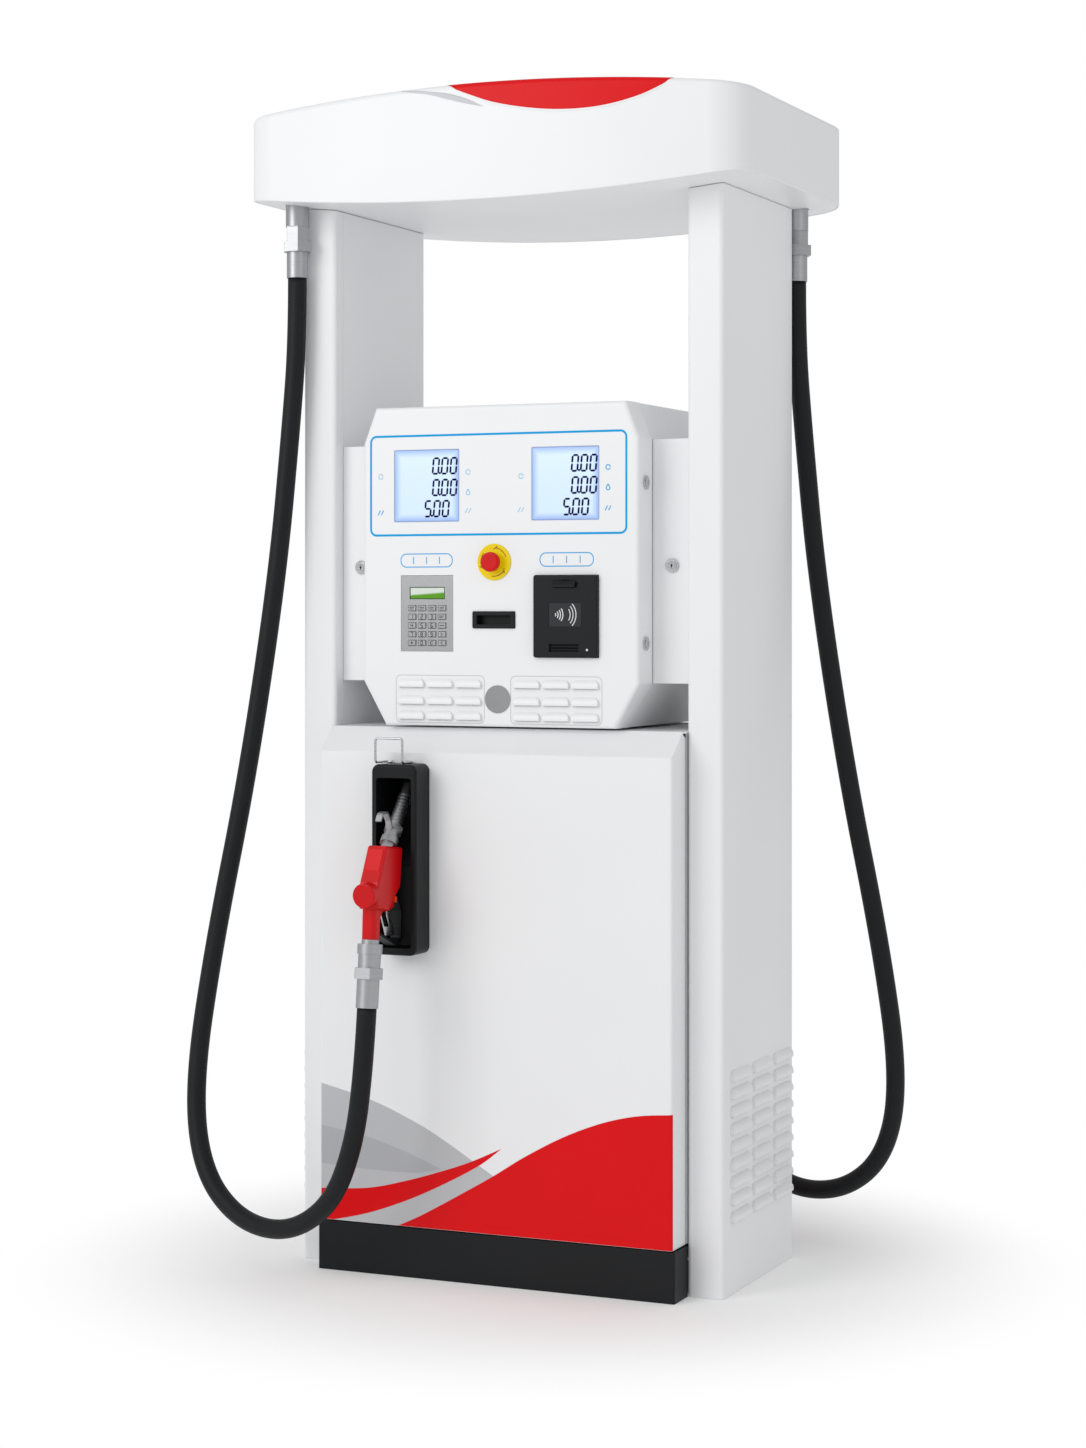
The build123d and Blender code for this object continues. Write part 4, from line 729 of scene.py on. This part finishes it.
# ---------------------------------------------------------------- carried-over CAD nodes
class PaintShop:
    """Finish of every node that the frame brings, listed by finish."""

    BOTH_SIDES = {
        "white_powder_coat": ("cabinet_door", "head_door"),
        "boot_polypropylene": ("nozzle_boot", "nozzle_guard"),
        "polished_steel": ("wire_bail", "nozzle_lever"),
        "nozzle_red_sleeve": ("nozzle_body",),
        "turned_aluminium": ("nozzle_spout", "hose_swivel", "hose_outlet"),
        "hose_rubber": ("hose",),
        "reader_polycarbonate": ("displays", "card_reader", "receipt_slot"),
        "brushed_stainless": ("keypad_plate", "keypad_keys"),
        "stop_yellow_plate": ("stop_collar",),
        "stop_red_mushroom": ("stop_button",),
        "lock_chrome": ("door_locks",),
    }
    SINGLE = {
        "white_powder_coat": ("column_cover_left", "column_cover_right", "column_inner_panels", "wing_covers",
                              "canopy_shell", "canopy_soffit", "cabinet_deck", "head_frame"),
        "black_powder_coat": ("kick_plates",),
        "grey_primer": ("base_frame", "portal_frame", "inner_brackets", "control_box"),
        "lock_chrome": ("wing_locks",),
        "motor_enamel": ("motor",),
        "cast_iron": ("pump", "motor_pulley", "pump_pulley"),
        "belt_rubber": ("v_belt",),
        "drawn_tube": ("flow_meters", "pipework"),
        "valve_brass": ("solenoid_valves",),
    }

    def dress(self, finishes: Finishes) -> None:
        """Put each node's finish in its material slots; a node without one gets primer."""
        names = {node: finish for finish, nodes in self.SINGLE.items() for node in nodes}
        for finish, nodes in self.BOTH_SIDES.items():
            names.update({side.node(node): finish for side in Side for node in nodes})
        for name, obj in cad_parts.items():
            obj.data.materials.clear()
            obj.data.materials.append(finishes[names.get(name, "grey_primer")])
        LOG.info("%d nodes carry a finish", len(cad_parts))


@dataclass
class DoorSeals(Dressing):
    """Foam strips in the joints between a cabinet door and the two columns."""

    gap_middle: float = 372.5
    width: float = 2.6
    front_y: float = -204.0
    depth: float = 12.0
    foot_z: float = 100.0
    top_z: float = 1063.0
    corner: float = 0.8

    def build(self) -> None:
        """Lay one strip on each side."""
        slab = Slab(self.side, self.front_y + self.depth, self.depth)
        for x in (-self.gap_middle, self.gap_middle):
            centre = (x, (self.foot_z + self.top_z) / 2)
            slab.add(rounded_rectangle(centre, self.width, self.top_z - self.foot_z, self.corner, 2))
        self.stick(slab, "door_seals", "root", "frame_paint", "seal_grey")


@dataclass
class NozzleTrim(Dressing):
    """Moulded label pad and latch clip on one nozzle."""

    middle_x: float = -181.0
    foot: Point = (-352.0, 846.0)
    # The body's upper face, from its foot to its top, in y and z from the spout's foot.
    face_foot: Point = (-79.0, -66.0)
    face_top: Point = (-45.0, 1.0)
    # Along the face from its foot: as shares of its length, then in millimetres back from its end.
    pad_start: Point = (0.30, 0.34)
    pad_end: Point = (9.0, 6.0)
    pad_thickness: float = 1.4
    pad_half_width: float = 15.5
    clip_at: Point = (-2.0, -104.0)
    clip_outline: Curve = ((-4, -5), (4, -7), (6, 4), (-2, 6))
    clip_half_width: float = 2.2
    clip_offset: float = 15.4
    edge: float = 0.0008

    def prism(
        self, name: str, outline: Sequence[Point], half_width: float, middle_x: float, finish: str
    ) -> None:
        """Bar across the nozzle with an outline of y and z, from the spout's foot."""
        count = len(outline)
        vertices = [self.side.place((middle_x + sign * half_width, self.foot[0] + y, self.foot[1] + z))
                    for sign in (-1, 1) for y, z in outline]
        faces = [list(range(count)), list(range(2 * count - 1, count - 1, -1))]
        faces += [[i, count + i, count + (i + 1) % count, (i + 1) % count] for i in range(count)]
        obj = mesh_object(self.side.node(name), vertices, faces)
        bevel = obj.modifiers.new("soft_edges", "BEVEL")
        bevel.width, bevel.segments = self.edge, 2
        self.put(obj, self.side.node("nozzle"), "nozzle_red", finish)

    def build(self) -> None:
        """Fit the pad and the clip."""
        start, end = Vector(self.face_foot), Vector(self.face_top)
        along = (end - start).normalized()
        out = Vector((-along.y, along.x))
        length = (end - start).length
        low, high = (length * share for share in self.pad_start)
        rim = ((low, 0.0), (high, self.pad_thickness), (length - self.pad_end[0], self.pad_thickness),
               (length - self.pad_end[1], 0.0))
        pad = [tuple(start + along * a + out * b) for a, b in rim]
        self.prism("nozzle_pad", pad, self.pad_half_width, self.middle_x, "nozzle_red_pad")
        clip = [(self.clip_at[0] + y, self.clip_at[1] + z) for y, z in self.clip_outline]
        self.prism("nozzle_clip", clip, self.clip_half_width, self.middle_x + self.clip_offset, "clip_orange")


@dataclass
class WingLockFaces(Dressing):
    """Keyway and turned ring on the face of each wing's lock; the keyway and barrel are a dark patch of
    painted shade.
    """

    centres: tuple[Point, Point] = ((-332.0, 1380.0), (332.0, 1380.0))
    ring_radius: float = 6.8
    keyway: Point = (1.6, 5.0)
    barrel_radius: float = 2.3

    def build(self) -> None:
        """Mark both locks."""
        face_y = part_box("wing_locks")[0].y / MM
        keyway_shade, rings = Slab(self.side, face_y, 0.15), Slab(self.side, face_y, 0.12)
        for centre in self.centres:
            # Painted shade: the dark barrel and keyway stand in for the shade inside the keyhole.
            keyway_shade.add(arc_points(centre, self.barrel_radius, 0, 337.5, 15))
            keyway_shade.add(rounded_rectangle((centre[0], centre[1] - 2), *self.keyway, 0.6, 2))
            rings.add_line(arc_points(centre, self.ring_radius, 0, 350, 35), 0.8, closed=True)
        self.stick(keyway_shade, "wing_lock_keyway_painted_shade", "root", "lock_chrome", "black_ink_and_painted_shade")
        self.stick(rings, "wing_lock_rings", "root", "lock_chrome", "plug_grey")


# ---------------------------------------------------------------- vinyl on doors and canopy
def height_at(curve: Curve, x: float) -> float:
    """Height of a curve at x, smooth between its points.

    Args:
        curve: points of x and z, with x rising.
        x: where to read it; outside the curve its end value holds.

    Returns:
        z at x.
    """
    if x <= curve[0][0]:
        return curve[0][1]
    for i in range(len(curve) - 1):
        (x0, z0), (x1, z1) = curve[i], curve[i + 1]
        if x <= x1:
            before = curve[i - 1] if i else (2 * x0 - x1, 2 * z0 - z1)
            after = curve[i + 2] if i + 2 < len(curve) else (2 * x1 - x0, 2 * z1 - z0)
            run, t = x1 - x0, (x - x0) / (x1 - x0)
            slope0 = (z1 - before[1]) / (x1 - before[0]) * run
            slope1 = (after[1] - z0) / (after[0] - x0) * run
            return ((2 * t ** 3 - 3 * t ** 2 + 1) * z0 + (t ** 3 - 2 * t ** 2 + t) * slope0
                    + (3 * t ** 2 - 2 * t ** 3) * z1 + (t ** 3 - t ** 2) * slope1)
    return curve[-1][1]


@dataclass(frozen=True)
class Stripe:
    """One cut of film: all that lies between two curves of x and z."""

    name: str
    finish: str
    upper: Curve
    lower: Curve
    start: float
    end: float
    lift: float


@dataclass
class DoorStripes(Dressing):
    """Red and grey stripes across the foot of a cabinet door, wrapped round its upright edges."""

    face_y: float = 271.5
    half_width: float = 371.0
    edge_radius: float = 6.0
    foot_z: float = 99.0
    step: float = 6.0
    wrap_steps: int = 6
    grey_top: Curve = ((-376, 367), (-253, 337), (-151, 297), (-95, 268), (-42, 237), (3, 211))
    band_top: Curve = ((-376, 284), (-265, 266), (-180, 242), (-106, 215))
    band_foot: Curve = ((-376, 208), (-247, 203), (-151, 205), (-106, 215))
    swoosh_top: Curve = ((-376, 158), (-265, 167), (-179, 188), (-95, 215), (-42, 235), (21, 264))
    swoosh_foot: Curve = ((-376, 93), (-354, 96), (-265, 118), (-179, 150), (-95, 190), (-22, 231),
                          (21, 264))
    sweep_top: Curve = ((-205, 96), (-151, 122), (-67, 169), (3, 210), (71, 253), (153, 297), (233, 329),
                        (302, 346), (371, 353))

    def stripes(self) -> list[Stripe]:
        """The cuts of film, from the lowest layer to the highest."""
        foot = ((-400, self.foot_z), (400, self.foot_z))
        left, right = -self.half_width, self.half_width
        return [
            Stripe("grey_field", "vinyl_light_grey", self.grey_top, foot, left, 3, 0.10),
            Stripe("grey_band", "vinyl_mid_grey", self.band_top, self.band_foot, left, -106, 0.18),
            Stripe("red_swoosh", "vinyl_red", self.swoosh_top, self.swoosh_foot, left, 21, 0.28),
            Stripe("red_sweep", "vinyl_red", self.sweep_top, foot, -203, right, 0.36),
        ]

    def surface_y(self, x: float, lift: float) -> float:
        """The door's face at x, and round its edge, lifted by a film's thickness."""
        over = abs(x) - (self.half_width - self.edge_radius)
        if over <= 0:
            return -self.face_y - lift
        radius = self.edge_radius + lift
        return -self.face_y + self.edge_radius - math.sqrt(max(radius ** 2 - over ** 2, 0.0))

    def positions(self, start: float, end: float) -> list[float]:
        """Where the film's columns stand, closer together round the door's edge."""
        flat = self.half_width - self.edge_radius
        count = max(2, round((end - start) / self.step))
        places = {round(start + (end - start) * i / count, 3) for i in range(count + 1)}
        for i in range(self.wrap_steps + 1):
            wrapped = flat + self.edge_radius * math.sin(math.radians(90) * i / self.wrap_steps)
            places |= {round(sign * wrapped, 3) for sign in (-1, 1) if start <= sign * wrapped <= end}
        return sorted(places)

    def build(self) -> None:
        """Cut and stick every stripe."""
        for stripe in self.stripes():
            columns = []
            for x in self.positions(stripe.start, stripe.end):
                low = max(height_at(stripe.lower, x), self.foot_z)
                high = max(height_at(stripe.upper, x), low + 0.05)
                y = self.surface_y(x, stripe.lift)
                columns.append([Vector((x, y, low + (high - low) * k / 4)) for k in range(5)])
            self.film(f"door_{stripe.name}", columns, stripe.finish)


@dataclass
class CanopyStripes(Dressing):
    """Red lens on the canopy's long side, rolled over its top edge, and a faint grey swoosh beside it."""

    half_length: float = 526.0
    half_depth: float = 308.0
    bulge: float = 29.0
    end_top_z: float = 2265.5
    rise: float = 30.5
    crown_radius: float = 10.0
    step: float = 7.0
    lens_foot: Curve = ((-80, 2300), (-20, 2275), (33, 2256), (109, 2240), (179, 2233), (250, 2235),
                        (319, 2248), (370, 2267), (420, 2295))
    swoosh_top: Curve = ((-164, 2289), (-110, 2286), (-60, 2278), (-20, 2265), (13, 2249))
    swoosh_foot: Curve = ((-164, 2288), (-110, 2281), (-60, 2267), (-20, 2256), (13, 2248.5))

    def top_z(self, x: float) -> float:
        """Height of the arched top at x."""
        return self.end_top_z + self.rise * (1 - (x / self.half_length) ** 2)

    def face_y(self, x: float) -> float:
        """Distance of the bowed side from the middle at x."""
        radius = (self.half_length ** 2 + self.bulge ** 2) / (2 * self.bulge)
        return math.sqrt(radius ** 2 - x ** 2) - radius + self.half_depth + self.bulge

    def point(self, x: float, along: float, lift: float) -> Vector:
        """Point on the side at a height, or past the crown's start, round its fillet."""
        start = self.top_z(x) - self.crown_radius
        if along <= start:
            return Vector((x, -self.face_y(x) - lift, along))
        angle = min((along - start) / self.crown_radius, 1.0) * math.radians(90)
        radius = self.crown_radius + lift
        return Vector((x, -self.face_y(x) + self.crown_radius - radius * math.cos(angle),
                       start + radius * math.sin(angle)))

    def cut(self, name: str, finish: str, upper: Callable[[float], float],
            lower: Callable[[float], float], span: Point, lift: float) -> None:
        """Cut one film between two heights and stick it."""
        count = max(2, round((span[1] - span[0]) / self.step))
        columns = []
        for i in range(count + 1):
            x = span[0] + (span[1] - span[0]) * i / count
            low = lower(x)
            high = max(upper(x), low + 0.05)
            bend = min(high, max(low, self.top_z(x) - self.crown_radius))
            heights = [low + (bend - low) * k / 4 for k in range(5)]
            heights += [bend + (high - bend) * k / 8 for k in range(1, 9)]
            columns.append([self.point(x, z, lift) for z in heights])
        self.film(f"canopy_{name}", columns, finish)

    def build(self) -> None:
        """Cut the lens, its white edge and the swoosh."""
        self.cut("white_edge", "vinyl_white", lambda x: height_at(self.lens_foot, x) + 2,
                 lambda x: height_at(self.lens_foot, x) - 4, (-20.0, 370.0), 0.45)
        self.cut("red_lens", "vinyl_red", self.top_z, lambda x: height_at(self.lens_foot, x),
                 (-80.0, 420.0), 0.7)
        self.cut("grey_swoosh", "silver_vinyl_and_painted_shade", lambda x: height_at(self.swoosh_top, x),
                 lambda x: height_at(self.swoosh_foot, x), (-164.0, 12.0), 0.3)


# ---------------------------------------------------------------- the head's face
class Segments:
    """Seven-segment figures, leaning a little to the right."""

    LIT = {"0": "abcdef", "1": "bc", "2": "abged", "3": "abgcd", "4": "fgbc", "5": "afgcd",
           "6": "afgedc", "7": "abc", "8": "abcdefg", "9": "abcdfg"}

    def __init__(self, height: float, width: float, stroke: float, lean: float = 0.09) -> None:
        """Keep the figures' size in millimetres."""
        self.height, self.width, self.stroke, self.lean = height, width, stroke, lean

    def bar(self, start: Point, end: Point) -> list[Point]:
        """Six-sided bar between two corners of a figure, with a gap at each end."""
        along = Vector((end[0] - start[0], end[1] - start[1]))
        unit = along.normalized()
        across = Vector((-unit.y, unit.x)) * self.stroke / 2
        gap = self.stroke * 0.12
        a, b = Vector(start) + unit * gap, Vector(end) - unit * gap
        inner_a, inner_b = a + unit * self.stroke / 2, b - unit * self.stroke / 2
        return [tuple(p) for p in (a, inner_a - across, inner_b - across, b,
                                   inner_b + across, inner_a + across)]

    def draw(self, slab: Slab, text: str, right: float, foot: float) -> None:
        """Draw figures and points that end at right and stand on foot.

        Args:
            slab: the slab that takes the bars.
            text: figures and full stops.
            right: x of the last figure's right side.
            foot: z of the figures' foot.
        """
        pitch = self.width + self.stroke * 1.75
        count = sum(1 for letter in text if letter != ".")
        x = right - count * pitch + self.stroke * 1.75
        half = self.height / 2
        for letter in text:
            if letter == ".":
                centre = (x - self.stroke * 0.85, foot + self.stroke * 0.3)
                slab.add(rounded_rectangle(centre, self.stroke, self.stroke, self.stroke * 0.3, 3))
                continue
            corners = {"tl": (x, foot + self.height), "tr": (x + self.width, foot + self.height),
                       "ml": (x, foot + half), "mr": (x + self.width, foot + half),
                       "bl": (x, foot), "br": (x + self.width, foot)}
            runs = {"a": ("tl", "tr"), "b": ("mr", "tr"), "c": ("br", "mr"), "d": ("bl", "br"),
                    "e": ("bl", "ml"), "f": ("ml", "tl"), "g": ("ml", "mr")}
            for segment in self.LIT[letter]:
                start, end = (corners[key] for key in runs[segment])
                slab.add([(px + (pz - foot) * self.lean, pz) for px, pz in self.bar(start, end)])
            x += pitch


@dataclass
class HeadFace(Dressing):
    """Everything printed on, let into or lit on one head door."""

    face_y: float = -241.0
    print_depth: float = 0.12
    frame_centre: Point = (-4.1, 1537.8)
    frame_size: Point = (541.0, 193.5)
    frame_line: float = 4.2
    display_z: float = 1537.0
    display_x: tuple[float, float] = (-153.5, 140.5)
    display_size: float = 138.0
    display_y: float = -240.4
    rows_z: tuple[float, float, float] = (1560.0, 1518.0, 1477.0)
    figure_height: float = 31.0
    pill_z: float = 1391.5
    pill_x: tuple[float, float] = (-153.5, 143.5)
    pill_size: Point = (111.0, 25.5)
    tick_shifts: tuple[float, float, float] = (-28.0, 0.0, 28.0)
    tick_reach: float = 7.0
    # Rows of marks beside the displays: x, then each mark's z and kind (0 coin, 1 drop, 2 bars).
    icon_rows: tuple = (
        (-253.0, ((1556.0, 0), (1485.0, 2))),
        (-64.0, ((1562.0, 0), (1523.0, 1), (1487.0, 2))),
        (48.0, ((1552.0, 0), (1487.0, 2))),
        (229.0, ((1566.0, 0), (1528.0, 1), (1488.0, 2))),
    )
    # Marks in the full blue, as x and kind; the others are pale.
    strong_icons: tuple = ((-253.0, 2), (229.0, 0), (229.0, 1), (229.0, 2))
    stop_centre: Point = (-8.0, 1387.5)
    stop_face_y: float = -244.3
    arrow_radius: float = 27.5
    arrow_starts: tuple[int, int, int] = (20, 140, 260)
    arrow_span: int = 62
    arrow_tip: float = 5.0
    plug_centre: Point = (-1.0, 1123.0)
    plug_radius: float = 27.0
    louvre_z: float = 1122.0
    louvre_x: tuple[float, float] = (-124.5, 121.5)
    louvre_box: Point = (190.0, 92.0)

    @property
    def body(self) -> str:
        """The door's body."""
        return self.side.node("head_door")

    def sheet(self, name: str, lines: Iterable[Sequence[Point]], width: float, finish: str,
              closed: bool = False, plane_y: float | None = None) -> None:
        """Print a set of lines of one width as one piece."""
        slab = Slab(self.side, self.face_y if plane_y is None else plane_y, self.print_depth)
        for line in lines:
            slab.add_line(line, width, closed)
        self.stick(slab, name, self.body, "white_paint", finish)

    def panel(self, name: str, centre: Point, size: Point, plane_y: float, depth: float, finish: str,
              slot: str) -> None:
        """Flat panel with rounded corners and a map from 0 to 1 over it, for the glowing displays and the
        keypad window's painted reflection.
        """
        slab = Slab(self.side, plane_y, depth)
        slab.add(rounded_rectangle(centre, size[0], size[1], 3.0, 5))
        obj = slab.build(name)
        layer = obj.data.uv_layers.new(name="panel")
        for loop in obj.data.loops:
            x, _, z = obj.data.vertices[loop.vertex_index].co / MM
            layer.data[loop.index].uv = (self.side.sign * (x - self.side.sign * centre[0]) / size[0] + 0.5,
                                         (z - centre[1]) / size[1] + 0.5)
        self.put(obj, self.body, slot, finish)

    def displays(self) -> None:
        """Two lit panels with three rows of figures each."""
        figures = Segments(self.figure_height - 1.0, 12.0, 4.0)
        slab = Slab(self.side, self.display_y - 0.5, 0.15)
        for number, x in enumerate(self.display_x):
            self.panel(f"display_panel_{number}", (x, self.display_z), (self.display_size, self.display_size),
                       self.display_y, 0.5, "display_backlight", "display_glass")
            right = (x + 63.0, x + 63.0, x + 46.0)
            for text, end, foot in zip(("0.00", "0.00", "5.00"), right, self.rows_z):
                figures.draw(slab, text, end, foot)
        self.stick(slab, "display_figures", self.body, "display_glass", "ink_navy")
        edges = [rounded_rectangle((x, self.display_z), 140.0, 140.0, 4.0, 5) for x in self.display_x]
        self.sheet("display_rims", edges, 1.2, "rim_blue", closed=True)

    def unit_icons(self) -> None:
        """Small generic marks beside the displays: a coin, a drop and a pair of bars."""
        strong: list[Curve] = []
        faint: list[Curve] = []
        for x, rows in self.icon_rows:
            for z, kind in rows:
                coin = arc_points((x, z), 4.6, 0, 340, 14)
                drop = [(x, z + 6), *arc_points((x, z - 1.5), 3.8, 30, -210, 12), (x, z + 6)]
                bars = [[(x - 6, z - 4), (x - 1, z + 5)], [(x + 1, z - 4), (x + 6, z + 5)]]
                target = strong if (x, kind) in self.strong_icons else faint
                target += ([coin], [drop], bars)[kind]
        self.sheet("unit_icons", strong, 2.0, "print_blue")
        self.sheet("unit_icons_pale", faint, 1.5, "print_pale_blue")

    def pills(self) -> None:
        """Two printed rounded fields, each divided by three short ticks."""
        corner = self.pill_size[1] / 2 - 1
        outlines = [rounded_rectangle((x, self.pill_z), *self.pill_size, corner, 10) for x in self.pill_x]
        self.sheet("field_outlines", outlines, 1.9, "print_blue", closed=True)
        low, high = self.pill_z - self.tick_reach, self.pill_z + self.tick_reach
        ticks = [[(x + shift, low), (x + shift, high)] for x in self.pill_x for shift in self.tick_shifts]
        self.sheet("field_ticks", ticks, 1.8, "print_blue")

    def stop_marks(self) -> None:
        """Turn-to-release arrows round the stop button, printed on its collar."""
        lines = []
        for start in self.arrow_starts:
            end = start + self.arrow_span
            lines.append(arc_points(self.stop_centre, self.arrow_radius, start, end, 12))
            x, z = lines[-1][-1]
            for bend in (2.4, -0.9):
                angle = math.radians(end) + bend
                lines.append([(x - self.arrow_tip * math.cos(angle), z - self.arrow_tip * math.sin(angle)),
                              (x, z)])
        self.sheet("stop_arrows", lines, 1.6, "ink_brown", plane_y=self.stop_face_y)

    def louvre_fields(self) -> None:
        """Grey line of painted shade round each group of louvres, where its slightly raised patch steps from
        the door, and the blanking plug between them.
        """
        outlines = [rounded_rectangle((x, self.louvre_z), *self.louvre_box, 10.0, 8) for x in self.louvre_x]
        # Painted shade: a thin grey film stands in for the shaded step round each louvre patch.
        self.sheet("louvre_edge_painted_shade", outlines, 1.6, "silver_vinyl_and_painted_shade", closed=True)
        slab = Slab(self.side, self.face_y, 1.0)
        slab.add(arc_points(self.plug_centre, self.plug_radius, 0, 352.5, 47))
        self.stick(slab, "blanking_plug", self.body, "stop_yellow", "plug_grey")

    def build(self) -> None:
        """Build every piece of the face."""
        outline = rounded_rectangle(self.frame_centre, *self.frame_size, 12.0, 10)
        self.sheet("blue_frame", [outline], self.frame_line, "print_blue", closed=True)
        self.displays()
        self.unit_icons()
        self.pills()
        self.stop_marks()
        self.louvre_fields()


@dataclass
class Keypad(Dressing):
    """Window with a painted reflection, key legends and painted shade along the keys' edges of one keypad."""

    centre: Point = (-152.5, 1288.5)
    window_z: float = 1328.0
    window_size: Point = (76.0, 24.0)
    window_y: float = -239.2
    key_face_y: float = -242.6
    pitch: Point = (21.6, 16.9)
    bottom_z: float = 1231.0
    # Painted shade: two sides of each key's edge, from its middle, drawn as dark lines.
    key_painted_shade: Curve = ((-7.6, 4), (-7.6, -5), (6, -5))
    legends: tuple[str, ...] = ("*0#<", "789>", "456-", "123+", "....")

    def symbol(self, slab: Slab, letter: str, centre: Point) -> None:
        """Draw one legend: a figure or a plain shape."""
        x, z = centre
        if letter.isdigit():
            Segments(7.4, 4.0, 1.5, 0.0).draw(slab, letter, x + 2.0, z - 3.7)
            return
        strokes = {
            "*": [[(x - 3, z), (x + 3, z)], [(x, z - 3), (x, z + 3)]],
            "#": [rounded_rectangle((x, z), 5.0, 5.0, 1.0, 2)],
            "<": [[(x + 2, z + 3), (x - 2, z), (x + 2, z - 3)]],
            ">": [[(x - 2, z + 3), (x + 2, z), (x - 2, z - 3)]],
            "-": [[(x - 5, z), (x + 5, z)]],
            "+": [[(x - 5, z + 1.5), (x + 5, z + 1.5)], [(x - 5, z - 1.5), (x + 2, z - 1.5)]],
            ".": [[(x - 5, z + 1.8), (x + 5, z + 1.8)], [(x - 5, z - 1.6), (x + 4, z - 1.6)]],
        }[letter]
        for stroke in strokes:
            slab.add_line(stroke, 1.4)

    def build(self) -> None:
        """Legends and the keys' painted edge shade ride with the keys, the window with the door."""
        slab = Slab(self.side, self.key_face_y, 0.1)
        for row, letters in enumerate(self.legends):
            for column, letter in enumerate(letters):
                x = self.centre[0] + (column - 1.5) * self.pitch[0]
                z = self.bottom_z + row * self.pitch[1]
                self.symbol(slab, letter, (x, z))
                # Painted shade along the left and lower edges of each key.
                slab.add_line([(x + dx, z + dz) for dx, dz in self.key_painted_shade], 0.9)
        self.stick(slab, "key_legends_and_painted_shade", self.side.node("keypad_keys"), "keypad_steel", "black_ink_and_painted_shade")
        face = HeadFace(self.side, self.finishes)
        middle = (self.centre[0], self.window_z)
        face.panel("keypad_window", middle, self.window_size, self.window_y, 0.4, "keypad_painted_reflection",
                   "keypad_steel")
        rim = Slab(self.side, self.window_y - 0.2, 0.5)
        width, height = (size - 1.5 for size in self.window_size)
        rim.add_line(rounded_rectangle(middle, width, height, 1.5, 3), 1.8, closed=True)
        self.stick(rim, "keypad_window_rim", face.body, "keypad_steel", "ink_green")


@dataclass
class CardReader(Dressing):
    """Contactless field, waves, lamp, and painted shade on the hood and in the slot of one card reader."""

    face_y: float = -250.0
    field_centre: Point = (143.5, 1286.0)
    field_size: Point = (66.0, 45.0)
    # Waves beside the hand: radius and half the angle, round a point left of the middle.
    small_waves: Curve = ((5.0, 36), (10.0, 36), (15.0, 36), (20.0, 36))
    small_centre: float = -24.0
    large_waves: Curve = ((19.0, 34), (25.0, 40), (31.0, 42))
    large_centre: float = -8.0
    lamp_centre: Point = (189.4, 1219.2)
    lamp_radius: float = 2.2
    hood: Curve = ((121, 1341), (167, 1341), (171, 1347), (163, 1350), (150, 1353), (138, 1353), (125, 1350),
                   (118, 1347))
    slot_centre: Point = (141.5, 1222.5)
    slot_shade_shift: float = 5.0
    slot_shade_size: Point = (56.0, 2.4)

    def stick_on(self, slab: Slab, name: str, finish: str) -> None:
        """Put a slab on the reader, which moves with the door."""
        self.stick(slab, f"reader_{name}", self.side.node("head_door"), "reader_plastic", finish)

    def build(self) -> None:
        """Build every piece of the reader's face."""
        field_slab = Slab(self.side, self.face_y + 1.0, 0.5)
        field_slab.add(rounded_rectangle(self.field_centre, *self.field_size, 2.0, 4))
        self.stick_on(field_slab, "field", "reader_window")
        waves = Slab(self.side, self.face_y + 0.5, 0.15)
        x, z = self.field_centre
        for radius, reach in self.small_waves:
            waves.add_line(arc_points((x + self.small_centre, z), radius, -reach, reach, 10), 2.0)
        for radius, reach in self.large_waves:
            waves.add_line(arc_points((x + self.large_centre, z), radius, -reach, reach, 14), 1.8)
        self.stick_on(waves, "waves", "ink_white")
        lamp = Slab(self.side, self.face_y, 0.5)
        lamp.add(arc_points(self.lamp_centre, self.lamp_radius, 0, 337.5, 15))
        self.stick_on(lamp, "lamp", "ink_white")
        # Painted shade: a near-black patch on the hood.
        hood = Slab(self.side, self.face_y, 1.6)
        hood.add(self.hood)
        self.stick_on(hood, "hood", "mouth_painted_shade")
        # Painted shade: near-black strips just inside the slot stand in for the shade in its mouth.
        slot_shade = Slab(self.side, self.face_y + 5.0, 0.6)
        x, z = self.slot_centre
        for shift in (-self.slot_shade_shift, self.slot_shade_shift):
            slot_shade.add(rounded_rectangle((x, z + shift), *self.slot_shade_size, 1.0, 3))
        self.stick_on(slot_shade, "slot_painted_shade", "mouth_painted_shade")


DRESSINGS = (DoorSeals, NozzleTrim, WingLockFaces, DoorStripes, CanopyStripes, HeadFace, Keypad, CardReader)


def main() -> None:
    """Build the studio, the hoses and every sub-assembly's looks."""
    logging.basicConfig(level=logging.INFO, format="%(message)s")
    studio = Studio()
    studio.camera()
    finishes = Finishes()
    for side in Side:
        Hose(side).build(finishes)
    studio.build()
    PaintShop().dress(finishes)
    for side in Side:
        for dressing in DRESSINGS:
            dressing(side, finishes).build()


if __name__ == "__main__":
    main()
